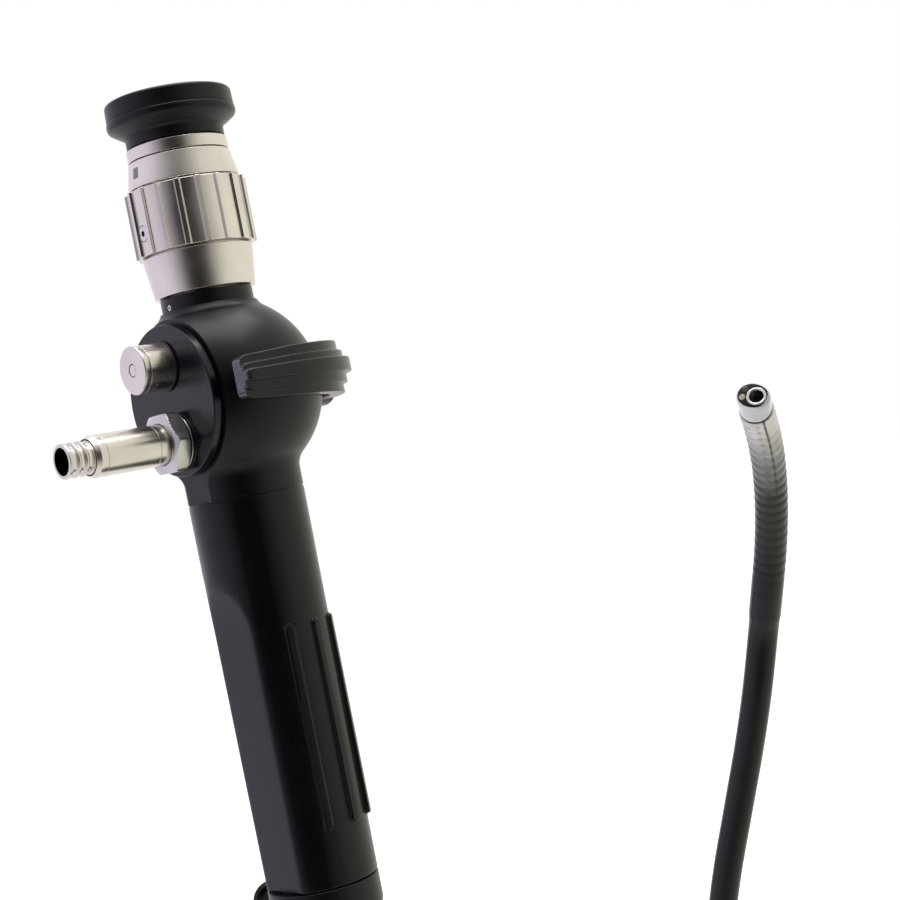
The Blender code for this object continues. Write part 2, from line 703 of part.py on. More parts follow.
def groove_tool():
    """The helical groove inside the focus ring: a bar bent along the helix."""
    reach = math.radians(FOCUS_TURN) + 2 * FOCUS_PIN_R / RING_R
    half = FOCUS_PIN_R + GAP
    inner = SLEEVE_R - GAP
    outer = SLEEVE_R + GAP + GROOVE_DEPTH
    rings = []
    for turn in np.linspace(-reach, reach, 18):
        level = RING_H / 2 + FOCUS_LEAD * turn
        corners = ((inner, -half), (outer, -half), (outer, half), (inner, half))
        across = (-math.sin(turn), math.cos(turn))  # the groove faces +Y at no turn
        rings.append([(r * across[0], r * across[1], level + z) for r, z in corners])
    return skin(rings)


def focus_ring_outline():
    """Points round the ring where its grip ridges stand."""
    points = []
    half = RING_RIDGE_W / 2 / RING_R
    for k in range(RING_RIDGES):
        middle = 2 * math.pi * (k + 0.5) / RING_RIDGES
        low, high = RING_R, RING_R + RING_RIDGE_RISE
        for turn, radius in ((-half, low), (-half, high), (half, high), (half, low)):
            points.append((radius * math.cos(middle + turn), radius * math.sin(middle + turn)))
        gap_mid = middle + math.pi / RING_RIDGES
        points.append((low * math.cos(gap_mid), low * math.sin(gap_mid)))
    return points


def focus_ring(look, screw_look, pivot):
    low, high = GAP / 2, RING_H - GAP / 2
    ring = add("focus_ring", prism(focus_ring_outline(), low, high), look, pivot=pivot)
    shape(ring, rod(SLEEVE_R + GAP, -MM, RING_H + MM, FINE_SIDES))
    shape(ring, groove_tool())
    place = Matrix.Translation((0, 0, RING_SCREW_RISE)) @ TO_SIDE
    shape(ring, rod(RING_SCREW_R + GAP, SLEEVE_R - MM, RING_R + MM, TINY_SIDES), place)
    inner = SLEEVE_R + 2 * GAP
    outer = inner + RING_SCREW_L
    screw = add("focus_ring_screw", rod(RING_SCREW_R, inner, outer, TINY_SIDES), screw_look, place, pivot)
    shape(screw, rod(RING_SCREW_R / 2, outer - RING_SCREW_L / 2, outer + MM, 6), place)
    return ring


def upper_barrel(look):
    foot = RING_TOP + GAP
    top = COLLAR_FOOT - GAP
    roof = SLEEVE_TOP + GAP
    profile = outline(
        (SLEEVE_R + GAP, foot),
        (UPPER_BARREL_FOOT_R, foot, 0.3 * MM),
        (UPPER_BARREL_TOP_R, top, 0.2 * MM),
        (SPIGOT_R - GAP, top),
        (SPIGOT_R - GAP, top + COLLAR_H / 2),
        (OCULAR_BORE_R, top + COLLAR_H / 2),
        (OCULAR_BORE_R, roof),
        (SLEEVE_R + GAP, roof),
    )
    return add("upper_barrel", turned(profile, FINE_SIDES), look)


def top_collar(look):
    profile = outline(
        (SPIGOT_R, COLLAR_FOOT),
        (COLLAR_R, COLLAR_FOOT),
        (COLLAR_R, COLLAR_TOP, 0.3 * MM),
        (SPIGOT_R, COLLAR_TOP),
        (SPIGOT_R, COLLAR_TOP + SPIGOT_H),
        (OCULAR_BORE_R, COLLAR_TOP + SPIGOT_H),
        (OCULAR_BORE_R, COLLAR_FOOT + COLLAR_H / 2 + GAP),
        (SPIGOT_R, COLLAR_FOOT + COLLAR_H / 2 + GAP),
    )
    return add("top_collar", turned(profile, FINE_SIDES), look)


def eyecup(look):
    foot = COLLAR_TOP + GAP
    band = EYECUP_TOP - EYECUP_BAND
    ledge = COLLAR_TOP + SPIGOT_H + 2 * GAP
    seat = ledge + WINDOW_LEDGE
    dish = EYECUP_TOP - EYECUP_DISH_DEPTH
    profile = outline(
        (SPIGOT_R + GAP, foot),
        (EYECUP_NECK_R, foot, 0.2 * MM),
        (EYECUP_NECK_R, foot + EYECUP_NECK_H, 1.6 * MM),
        (EYECUP_SHOULDER_R, band - 3.0 * MM, 1.4 * MM),
        (EYECUP_SHOULDER_R, band - 0.3 * MM, 0.6 * MM),
        (EYECUP_R - 0.25 * MM, band),
        (EYECUP_R, band + 0.25 * MM),
        (EYECUP_R, EYECUP_TOP, 0.7 * MM),
        (EYECUP_R - EYECUP_LIP, EYECUP_TOP, 0.5 * MM),
        (EYECUP_DISH_R, dish, 0.8 * MM),
        (WINDOW_R + GAP, dish),
        (WINDOW_R + GAP, seat),
        (WINDOW_R - LEDGE, seat),
        (WINDOW_R - LEDGE, ledge),
        (SPIGOT_R + GAP, ledge),
    )
    return add("eyecup", turned(profile, FINE_SIDES), look)


def eyepiece_window(look):
    low = COLLAR_TOP + SPIGOT_H + 2 * GAP + WINDOW_LEDGE + GAP
    return add("eyepiece_window", rod(WINDOW_R, low, low + WINDOW_T, ROUND_SIDES, 0.2 * MM), look)


def lens_group(carrier_look, glass, pivot):
    """The carrier slides in the sleeve; its pin passes the slot into the ring's groove.
    Heights count from the pivot, at the pin."""
    low = -CARRIER_H / 2
    high = CARRIER_H / 2
    outer = SLEEVE_BORE_R - GAP
    profile = [
        (CARRIER_BORE_R - LEDGE, low),
        (outer, low),
        (outer, high),
        (CARRIER_BORE_R, high),
        (CARRIER_BORE_R, low + LEDGE),
        (CARRIER_BORE_R - LEDGE, low + LEDGE),
    ]
    carrier = add("lens_carrier", turned(profile, ROUND_SIDES), carrier_look, pivot=pivot)
    pin_tip = SLEEVE_R + GROOVE_DEPTH
    pin = rod(FOCUS_PIN_R, (CARRIER_BORE_R + outer) / 2, pin_tip, TINY_SIDES)
    towards_y = Matrix.Rotation(-math.pi / 2, 4, "X")
    shape(carrier, pin, towards_y, "UNION")
    lens_r = CARRIER_BORE_R - GAP
    seat = low + LEDGE + GAP
    edge_top = seat + LENS_BULGE + LENS_EDGE
    crown = (lens_r**2 + LENS_BULGE**2) / (2 * LENS_BULGE)
    spread = math.degrees(math.asin(lens_r / crown))
    back = arc((0, seat + crown), crown, -90, -90 + spread, 3)
    front = arc((0, edge_top + LENS_BULGE - crown), crown, 90 - spread, 90, 3)
    lens = turned(back + front, ROUND_SIDES, hollow=False)
    add("ocular_lens", lens, glass, pivot=pivot)


def side_plate(look, gasket_look):
    """The cover of the mechanism, with a lip that centres it in the case's opening."""
    opening = math.sqrt(CAVITY_R**2 - PLATE_SEAT**2)
    lip_r = min(PLATE_LIP_R, opening - GAP)
    lip = PLATE_SEAT - PLATE_LIP_H
    profile = outline(
        (0.0, lip),
        (lip_r, lip),
        (lip_r, PLATE_BACK),
        (PLATE_R, PLATE_BACK),
        (PLATE_R, PLATE_FACE, PLATE_EDGE),
        (0.0, PLATE_FACE),
    )
    plate = add("side_plate", turned(profile, FINE_SIDES, hollow=False), look, AT_BALL @ TO_SIDE)
    for place, radius in ((LEAK_AXIS, LEAK_SPIGOT_R), (LIGHT_AXIS, POST_SPIGOT_R)):
        shape(plate, rod(radius + GAP, 0.0, 2 * PLATE_FACE), place)
    seat = PLATE_SEAT + GAP
    gasket = pipe(PLATE_R - MM, lip_r + GAP, seat, seat + GASKET_T)
    add("plate_gasket", gasket, gasket_look, AT_BALL @ TO_SIDE)


def leak_connector(metal, dark, pivot):
    """The leak-test connector: flanged body, cap, sprung pin and its spring."""
    washer = PLATE_FACE + GAP
    foot = washer + WASHER_T
    end = foot + LEAK_BODY_L
    cap_low = end + GAP
    cap_face = cap_low + LEAK_CAP_T
    floor = foot + LEAK_FLOOR
    bore = LEAK_PIN_R + GAP
    profile = outline(
        (LEAK_SPIGOT_R, PLATE_SEAT - PLATE_LIP_H),
        (LEAK_SPIGOT_R, washer),
        (LEAK_FLANGE_OUT_R, washer, 0.2 * MM),
        (LEAK_FLANGE_OUT_R, foot, 0.2 * MM),
        (LEAK_R, foot),
        (LEAK_R, end, 0.3 * MM),
        (LEAK_CHAMBER_R, end),
        (LEAK_CHAMBER_R, floor),
        (bore, floor),
        (bore, PLATE_SEAT - PLATE_LIP_H),
    )
    body = add("leak_port_body", turned(profile, SMALL_SIDES), metal, LEAK_AXIS)
    vent = rod(LEAK_VENT_R, LEAK_CHAMBER_R - MM, LEAK_R + MM, TINY_SIDES)
    vent_place = Matrix.Translation((0, 0, end - 2.2 * MM)) @ TO_HUB
    shape(body, vent, LEAK_AXIS @ vent_place)
    inner = cap_low - MM
    profile = outline(
        (bore, inner),
        (LEAK_CHAMBER_R - GAP, inner),
        (LEAK_CHAMBER_R - GAP, cap_low),
        (LEAK_CAP_R, cap_low, 0.2 * MM),
        (LEAK_CAP_R, cap_face, 0.4 * MM),
        (bore, cap_face),
    )
    add("leak_port_cap", turned(profile, SMALL_SIDES), metal, LEAK_AXIS)
    # The pin and its spring count from the pivot, on the pin's axis at the cap's face
    collar = cap_low - cap_face - MM - GAP
    profile = [
        (0.0, -LEAK_PIN_L),
        (LEAK_PIN_R, -LEAK_PIN_L),
        (LEAK_PIN_R, collar - LEAK_FLANGE_T),
        (LEAK_FLANGE_R, collar - LEAK_FLANGE_T),
        (LEAK_FLANGE_R, collar),
        (LEAK_PIN_R, collar),
        (LEAK_PIN_R, -LEAK_PIN_RECESS),
        (0.0, -LEAK_PIN_RECESS),
    ]
    pin = turned(profile, SMALL_SIDES, hollow=False)
    add("leak_valve_pin", pin, dark, TO_SIDE, pivot)
    high = cap_face + collar - LEAK_FLANGE_T - GAP - SPRING_WIRE_R
    low = floor + GAP + SPRING_WIRE_R
    coil_r = (LEAK_PIN_R + LEAK_FLANGE_R) / 2 + SPRING_WIRE_R
    turn = np.linspace(0, 2 * math.pi * SPRING_TURNS, 8 * SPRING_TURNS + 1)
    path = np.stack((coil_r * np.cos(turn), coil_r * np.sin(turn), np.linspace(low, high, len(turn))), 1)
    add("leak_valve_spring", sweep(path, SPRING_WIRE_R, 5), metal, LEAK_AXIS)


def light_post(metal, steel):
    """The light-guide post: flanged tube, hexagonal nut and threaded nipple."""
    washer = PLATE_FACE + GAP
    foot = washer + WASHER_T + GAP
    nut_top = foot + NUT_H
    end = foot + POST_L
    corner = NUT_ACROSS / 2 / math.cos(math.pi / 6)
    hexagon = arc((0, 0), corner, 30, 330, 5)
    nut = add("light_post_nut", prism(hexagon, foot, nut_top), steel, LIGHT_AXIS)
    # A cone turned off both faces leaves the round chamfer of a real nut
    reach = corner + MM
    for face, way in ((nut_top, 1), (foot, -1)):
        inside = NUT_ACROSS / 2 - NUT_CHAMFER / 2
        cone = [
            (inside, face + way * MM / 10),
            (inside, face),
            (reach, face - way * (reach - inside) * math.tan(math.radians(30))),
            (reach, face + way * MM / 10),
        ]
        shape(nut, turned(cone), LIGHT_AXIS)
    shape(nut, rod(POST_R + GAP, foot - MM, nut_top + MM, ROUND_SIDES), LIGHT_AXIS)
    notch = POST_GROOVE
    rings = []
    for at in (nut_top + 1.6 * MM, end - 3.4 * MM, end - 1.8 * MM):
        rings += [(POST_R, at), (POST_R - notch, at + notch), (POST_R, at + 2 * notch)]
    profile = [
        (POST_SPIGOT_R, PLATE_SEAT - PLATE_LIP_H),
        (POST_SPIGOT_R, washer),
        (NUT_WASHER_R, washer),
        (NUT_WASHER_R, foot - GAP),
        (POST_R, foot - GAP),
        *rings,
        (POST_R, end - notch),
        (POST_R - notch, end),
        (POST_SPIGOT_R + GAP, end),
        (POST_SPIGOT_R + GAP, end - POST_SOCKET),
        (POST_BORE_R, end - POST_SOCKET),
        (POST_BORE_R, PLATE_SEAT - PLATE_LIP_H),
    ]
    add("light_post", turned(profile, SMALL_SIDES), metal, LIGHT_AXIS)
    low = end + GAP
    tip = low + NIPPLE_L
    pitch = NIPPLE_L / (NIPPLE_THREADS + 2)
    profile = [(POST_SPIGOT_R, end - POST_SOCKET + GAP), (POST_SPIGOT_R, low), (NIPPLE_ROOT_R, low + GAP)]
    for k in range(NIPPLE_THREADS):
        at = low + pitch * (k + 0.9)
        profile += [(NIPPLE_ROOT_R, at), (NIPPLE_R, at + 0.3 * pitch)]
        profile += [(NIPPLE_R, at + 0.55 * pitch), (NIPPLE_ROOT_R, at + 0.85 * pitch)]
    profile += [(NIPPLE_ROOT_R, tip - 0.9 * MM), (NIPPLE_R, tip - 0.6 * MM), (NIPPLE_R, tip)]
    profile += [(POST_BORE_R, tip), (POST_BORE_R, end - POST_SOCKET + GAP)]
    add("light_post_nipple", turned(profile, SMALL_SIDES), metal, LIGHT_AXIS)
    return end


def light_guide(look, post_end):
    """The fibre bundle from inside the post, round a bend and down the handle."""
    level = BALL_Z - LIGHT_DROP
    start = LIGHT_GUIDE_RECESS - post_end
    bend = LIGHT_GUIDE_BEND
    turn_at = (-LIGHT_GUIDE_REACH - bend, level - bend)
    path = [(start, 0.0, level)]
    path += [(x, 0.0, z) for x, z in arc(turn_at, bend, 90, 0, 6)]
    path.append((-LIGHT_GUIDE_REACH, 0.0, BLOCK_TOP + 2 * GAP))
    add("light_guide", sweep(path, LIGHT_GUIDE_R), look)


def image_guide(bundle, metal):
    """The coherent bundle, with the metal ferrule that holds its upper end."""
    top = NECK_TOP + BUNDLE_END_L / 2
    ferrule = pipe(BUNDLE_END_R, BUNDLE_R + GAP, top - BUNDLE_END_L, top, SMALL_SIDES)
    add("image_bundle_ferrule", ferrule, metal)
    add("image_bundle", rod(BUNDLE_R, BLOCK_TOP + 2 * GAP, top, TINY_SIDES), bundle)


def lever_path():
    """Stations of the lever's band as (base point, outward normal): round the ball from
    behind the hub to the thumb side, then straight on past the axis."""
    stations = []
    for turn in np.radians(np.linspace(LEVER_TAIL, -90, 12)):
        stations.append(((0.0, 0.0), (math.cos(turn), math.sin(turn))))
    for run in np.linspace(0, LEVER_END - LEVER_END_ROUND, 2)[1:]:
        stations.append(((-run, 0.0), (0.0, -1.0)))
    return stations


def lever_mesh():
    total = sum(height for height, _ in LEVER_TIERS)
    level = LEVER_RISE - total / 2
    section = [(LEVER_INNER_R, level + total), (LEVER_INNER_R, level)]
    for height, reach in LEVER_TIERS:
        section += [(reach, level), (reach, level + height)]
        level += height
    middle = np.mean(section, axis=0)
    inset = LEVER_END_ROUND

    def ring(base, normal, slim=0.0):
        points = []
        for reach, z in section:
            pull = middle - (reach, z)
            pull *= slim / max(np.linalg.norm(pull), slim)
            reach, z = np.array((reach, z)) + pull
            points.append((base[0] + normal[0] * reach, base[1] + normal[1] * reach, z))
        return points

    stations = lever_path()
    rings = [ring(*s) for s in stations]
    base, normal = stations[-1]
    rings.append(ring((base[0] - 0.7 * inset, base[1]), normal, 0.3 * inset))
    rings.append(ring((base[0] - inset, base[1]), normal, inset))
    return skin(rings)


def lever_group(rubber, metal, brass, pivot):
    lever = add("lever", lever_mesh(), rubber, pivot=pivot)
    inner = SHAFT_SEAT + BUSH_FLANGE + 2 * GAP
    hub = rod(LEVER_HUB_R, inner, LEVER_HUB_REACH, ROUND_SIDES, edge=0.5 * MM)
    shape(lever, hub, TO_HUB, "UNION")
    shape(lever, rod(SHAFT_R + GAP, inner - MM, 2 * BALL_R), TO_HUB)
    head_seat = LEVER_HUB_REACH - CAP_HEAD_T
    shape(lever, rod(CAP_HEAD_R + GAP, head_seat, 2 * BALL_R), TO_HUB)
    shaft_end = head_seat - GAP
    drum_low = DRUM_REACH - DRUM_T / 2
    shaft = rod(SHAFT_R, drum_low - 2 * GAP, shaft_end)
    add("lever_shaft", shaft, metal, TO_HUB, pivot)
    cap = rod(CAP_HEAD_R, head_seat + GAP, LEVER_HUB_REACH + GAP, SMALL_SIDES, edge=0.3 * MM)
    screw = add("lever_screw", cap, metal, TO_HUB, pivot)
    slot = prism(((-6 * MM, -GAP), (6 * MM, -GAP), (6 * MM, GAP), (-6 * MM, GAP)),
                 LEVER_HUB_REACH - 0.4 * MM, LEVER_HUB_REACH + MM)
    shape(screw, slot, TO_HUB)
    rim = DRUM_R + DRUM_RIM
    half, groove = DRUM_T / 2, DRUM_GROOVE_W / 2
    bottom = DRUM_R - WIRE_R - GAP
    bore = SHAFT_R + GAP
    profile = [
        (bore, DRUM_REACH - half), (rim, DRUM_REACH - half), (rim, DRUM_REACH - groove),
        (bottom, DRUM_REACH - groove), (bottom, DRUM_REACH + groove),
        (rim, DRUM_REACH + groove), (rim, DRUM_REACH + half), (bore, DRUM_REACH + half),
    ]
    add("wire_drum", turned(profile), brass, TO_HUB, pivot)


def shaft_bush(look):
    """The bearing in the case's wall, with a flange outside it."""
    bore = SHAFT_R + GAP
    outer = bore + BUSH_WALL
    seat = SHAFT_SEAT + GAP
    profile = [
        (bore, seat - BUSH_L), (outer, seat - BUSH_L), (outer, seat),
        (outer + MM / 2, seat), (outer + MM / 2, seat + BUSH_FLANGE - GAP),
        (bore, seat + BUSH_FLANGE - GAP),
    ]
    add("shaft_bush", turned(profile, SMALL_SIDES), look, AT_BALL @ TO_HUB)


def wires(steel, pivots):
    """Two pull wires off the drum, each into a coil pipe that runs down the grip."""
    for side, name, pivot in ((1, "up", pivots[0]), (-1, "down", pivots[1])):
        wire = rod(WIRE_R, -WIRE_TOP - WIRE_LENGTH, -WIRE_TOP, 8)
        add(f"pull_wire_{name}", wire, steel, pivot=pivot)
        top = BALL_Z - COIL_PIPE_DROP
        foot = BLOCK_TOP + COIL_PIPE_STANDOFF
        coil = pipe(COIL_PIPE_R, WIRE_R + COIL_PIPE_PLAY, foot, top, TINY_SIDES)
        place = Matrix.Translation((DRUM_REACH, side * DRUM_R, 0))
        add(f"coil_pipe_{name}", coil, steel, place)


def about_handle(point):
    """A point of the tube turned with it about the handle's axis."""
    return Matrix.Rotation(math.radians(TUBE_TURN), 3, "Z") @ Vector(point)


def bend_frames():
    """The frame of each link at rest: Z along the link, X along its hinge. The last one
    is the tip's."""
    climb, heading = math.radians(BEND_CLIMB), math.radians(BEND_HEADING + TUBE_TURN)
    base = about_handle(BEND_BASE)
    ahead = Vector((
        math.cos(climb) * math.cos(heading), math.cos(climb) * math.sin(heading), math.sin(climb),
    ))
    level = ahead.cross(Vector((0, 0, 1))).normalized()
    hinge = Matrix.Rotation(math.radians(BEND_ROLL), 3, -ahead) @ level
    frames = []
    point = base.copy()
    turn = Matrix.Rotation(math.radians(BEND_AT_REST) / LINK_COUNT, 3, hinge)
    before = ahead.copy()
    for k in range(LINK_COUNT + 1):
        if k < LINK_COUNT:
            ahead = turn @ ahead
        side = ahead.cross(hinge)
        frame = Matrix((hinge, side, ahead)).transposed().to_4x4()
        frames.append(Matrix.Translation(point) @ frame)
        point = point + ahead * LINK_PITCH
    start = Matrix((hinge, before.cross(hinge), before)).transposed().to_4x4()
    return Matrix.Translation(base) @ start, frames


def lug_outline(radius, foot, centre, sides=3):
    """A tongue with a round end at centre, in the plane across the hinge."""
    way = 1 if centre > foot else -1
    round_end = arc((0, centre), radius, 0, 180 * way, sides)
    return round_end + [(-radius, foot), (radius, foot)]


def link_pieces(link, place, front, rear):
    """Puts the hinge lugs on a ring: outer lugs with holes at the rear, and inner
    tongues with rivets at the front."""
    inner_face = LINK_R - LUG_T
    tongue_out = inner_face - 3 * THIN_GAP - THIN_GAP / 2
    tongue_in = tongue_out - TONGUE_T
    step_low, step_high = 0.35 * LINK_PITCH, LINK_END - THIN_GAP
    for way in (-1, 1):
        spread = sorted((way * inner_face, way * LINK_R))
        if rear:
            lug = lug_outline(LUG_R, LINK_PITCH / 3, 0.0)
            shape(link, prism(lug, *spread, "YZX"), place, "UNION")
        if front:
            tongue = lug_outline(TONGUE_R, step_low, LINK_PITCH)
            shape(link, prism(tongue, *sorted((way * tongue_in, way * tongue_out)), "YZX"),
                  place, "UNION")
            step = [(-TONGUE_R, step_low), (TONGUE_R, step_low),
                    (TONGUE_R, step_high), (-TONGUE_R, step_high)]
            reach = sorted((way * (tongue_in + THIN_GAP), way * (LINK_R - LINK_WALL / 2)))
            shape(link, prism(step, *reach, "YZX"), place, "UNION")
            rivet = arc((0, LINK_PITCH), RIVET_R, 0, 360, 6)[:-1]
            reach = sorted((way * (tongue_in + THIN_GAP), way * (LINK_R - THIN_GAP / 2)))
            shape(link, prism(rivet, *reach, "YZX"), place, "UNION")
    if rear:
        hole = arc((0, 0), RIVET_R + 1.5 * THIN_GAP, 0, 360, 6)[:-1]
        shape(link, prism(hole, -2 * LINK_R, 2 * LINK_R, "YZX"), place)


def link_ring(low, high):
    return pipe(LINK_R, LINK_R - LINK_WALL, low, high, LINK_SIDES)


def bending_section(steel, rubber, liner_look):
    """The links from the base ring on the ferrule to the last one at the tip."""
    start, frames = bend_frames()
    pattern = add("pattern", link_ring(LINK_LEAD, LINK_END), steel)
    link_pieces(pattern, Matrix(), front=True, rear=True)
    mesh = tidied(baked(pattern))
    for tool in [step.object for step in pattern.modifiers] + [pattern]:
        bpy.data.objects.remove(tool)
    for k in range(LINK_COUNT - 1):
        add(f"bending_link_{k + 1:02d}", mesh.copy(), steel, frames[k])
    last = add(f"bending_link_{LINK_COUNT:02d}", link_ring(LINK_LEAD, LINK_PITCH), steel,
               frames[LINK_COUNT - 1])
    link_pieces(last, frames[LINK_COUNT - 1], front=False, rear=True)
    base_place = start @ Matrix.Translation((0, 0, -LINK_PITCH))
    base = add("base_ring", link_ring(0.0, LINK_END), steel, base_place)
    link_pieces(base, base_place, front=True, rear=False)
    # The rubber covers the base ring, every link and the foot of the tip
    path = [base_place @ Vector((0, 0, -TIP_L / 4)), base_place @ Vector((0, 0, LINK_PITCH / 2))]
    path += [f @ Vector((0, 0, LINK_PITCH / 2)) for f in frames[:-1]]
    path.append(frames[-1] @ Vector((0, 0, TIP_L / 3)))
    add("bending_rubber", sweep(path, RUBBER_R, SMALL_SIDES, RUBBER_R - RUBBER_WALL), rubber)
    liner_r = CHANNEL_R + LINER_WALL
    ends = [f @ Vector((0, 0, -GAP)) for f in (base_place, frames[-1])]
    path = ends[:1] + path[1:-1:2] + ends[1:]
    add("working_channel", sweep(path, liner_r, 6, CHANNEL_R), liner_look)
    return start, frames


def shaft_ferrule(look, start):
    """The metal sleeve that joins the insertion tube to the base ring."""
    top = -LINK_PITCH - TIP_L / 4 - GAP
    spigot = LINK_R - LINK_WALL - GAP
    profile = outline(
        (spigot - LINK_WALL, top - FERRULE_L),
        (RUBBER_R, top - FERRULE_L, 0.3 * MM),
        (RUBBER_R, top, 0.2 * MM),
        (LINK_R - LINK_WALL, top),
        (LINK_R - LINK_WALL, -LINK_PITCH - GAP),
        (spigot - LINK_WALL, -LINK_PITCH - GAP),
    )
    add("shaft_ferrule", turned(profile, SMALL_SIDES), look, start)
    end = top - FERRULE_L - 2 * GAP
    return [tuple(start @ Vector((0, 0, end - run))) for run in (TUBE_END_RUN, 0.0)]


def egg_ring(level, radius, nose):
    """A ring of the tip, drawn out on one side by nose."""
    turn = np.linspace(0, 2 * math.pi, ROUND_SIDES, endpoint=False)
    reach = radius + nose * np.maximum(np.cos(turn), 0) ** 2
    slim = 1 - nose / radius * np.abs(np.sin(turn)) ** 2
    return np.stack((reach * np.cos(turn) * slim, reach * np.sin(turn) * slim,
                     np.full(ROUND_SIDES, level)), axis=1)


def tip_group(metal, ceramic, glass, light_glass, frame):
    """The distal tip: a body with the channel's mouth, the objective and a light lens."""
    plug = LINK_R - LINK_WALL - GAP
    step = TIP_L / 3 + GAP
    rings = [egg_ring(GAP, plug, 0), egg_ring(step - GAP, plug, 0), egg_ring(step, TIP_R, 0)]
    rings.append(egg_ring(TIP_L / 2, TIP_R, TIP_EGG / 3))
    rings.append(egg_ring(TIP_L - TIP_ROUND, TIP_R, TIP_EGG))
    rings.append(egg_ring(TIP_L - TIP_ROUND / 3, TIP_R - TIP_ROUND / 3, TIP_EGG))
    rings.append(egg_ring(TIP_L, TIP_R - TIP_ROUND, TIP_EGG))
    tip = add("tip_body", skin(rings), ceramic, frame)
    mouth = Matrix.Translation((CHANNEL_OFFSET, 0, 0))
    rim_r = CHANNEL_R + CHANNEL_RIM
    start = TIP_L / 2
    shape(tip, rod(CHANNEL_R + LINER_WALL, -TIP_L, start + GAP, SMALL_SIDES), frame)
    shape(tip, rod(rim_r + THIN_GAP, start, 2 * TIP_L, SMALL_SIDES), frame @ mouth)
    liner = pipe(rim_r, CHANNEL_R, start + GAP, TIP_L + THIN_GAP, SMALL_SIDES)
    add("channel_mouth", liner, metal, frame @ mouth)
    lenses = (("objective_lens", 1, glass), ("light_lens", -1, light_glass))
    for name, side, look in lenses:
        place = frame @ Matrix.Translation((-LENS_OFFSET, side * LENS_SPREAD, 0))
        shape(tip, rod(LENS_R + THIN_GAP, TIP_L - LENS_DEPTH - THIN_GAP, 2 * TIP_L, TINY_SIDES), place)
        add(name, rod(LENS_R, TIP_L - LENS_DEPTH, TIP_L, TINY_SIDES), look, place)


def insertion_tube(look, end):
    """The free tube, a curve from inside the strain relief to the ferrule."""
    route = [about_handle(point) for point in TUBE_ROUTE]
    points = smooth_route(route + end, TUBE_STEP)
    curve = bpy.data.curves.new("insertion_tube", "CURVE")
    curve.dimensions = "3D"
    curve.bevel_depth = TUBE_R
    curve.bevel_resolution = 2
    curve.use_fill_caps = True
    spline = curve.splines.new("POLY")
    spline.points.add(len(points) - 1)
    for point, place in zip(spline.points, points):
        point.co = (*place, 1.0)
    curve.materials.append(look)
    tube = bpy.data.objects.new("insertion_tube", curve)
    bpy.context.collection.objects.link(tube)


def main():
    for old in list(bpy.data.objects):
        bpy.data.objects.remove(old)
    black = finish("black anodised aluminium", (0.012, 0.012, 0.014), 0.35, 0.3)
    grip_black = finish("black moulded grip", (0.013, 0.014, 0.018), 0.45)
    nickel = finish("satin nickel plate", (0.62, 0.60, 0.58), 0.28, 1.0)
    steel = finish("stainless steel", (0.55, 0.55, 0.55), 0.25, 1.0)
    brass = finish("brass", (0.72, 0.52, 0.22), 0.3, 1.0)
    rubber = finish("black rubber", (0.015, 0.015, 0.016), 0.5)
    sheath = finish("black polyurethane sheath", (0.012, 0.012, 0.013), 0.3)
    glass = finish("coated glass", (0.6, 0.65, 0.7), 0.05)
    fibre = finish("glass fibre bundle", (0.35, 0.3, 0.22), 0.4)
    polymer = finish("white fluoropolymer", (0.8, 0.8, 0.78), 0.4)

    control_body(black)
    neck_screws(steel)
    grip(grip_black)
    channel_block(black)
    channel_port(steel)
    strain_relief(rubber)
    lower_barrel(nickel)
    focus_ring(nickel, steel, pivot_at("focus_axis", (0, 0, RING_FOOT)))
    upper_barrel(nickel)
    top_collar(nickel)
    eyecup(black)
    eyepiece_window(glass)
    lens_group(brass, glass, pivot_at("carrier_slide", (0, 0, RING_FOOT + RING_H / 2)))
    side_plate(black, rubber)
    cap_face = PLATE_FACE + GAP + WASHER_T + LEAK_BODY_L + GAP + LEAK_CAP_T
    pin_point = BALL + Vector((-cap_face, 0, LEAK_RISE))
    leak_connector(nickel, steel, pivot_at("pin_slide", pin_point))
    post_end = light_post(nickel, steel)
    light_guide(fibre, post_end)
    image_guide(fibre, steel)
    lever_group(rubber, steel, brass, pivot_at("lever_axis", BALL))
    shaft_bush(brass)
    wire_pivots = [
        pivot_at(f"wire_slide_{name}", (DRUM_REACH, side * DRUM_R, BALL_Z))
        for name, side in (("up", 1), ("down", -1))
    ]
    wires(steel, wire_pivots)
    start, frames = bending_section(steel, sheath, polymer)
    end = shaft_ferrule(steel, start)
    tip_group(steel, nickel, glass, polymer, frames[-1])
    insertion_tube(sheath, end)


main()
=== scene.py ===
# %% [markdown]
# # A flexible endoscope
# The handle is a stack of turned metal and moulded pieces on one upright axis. A slim tube
# leaves its foot, swings round below and comes up again on the right, where it ends in a
# bending section and a small tip. The frame holds every piece at its real place, in metres.
# Sizes below are in millimetres unless their comment says metres.

# %% Load the frame
import json
import math

import bmesh
import bpy
import numpy as np
from mathutils import Matrix, Vector


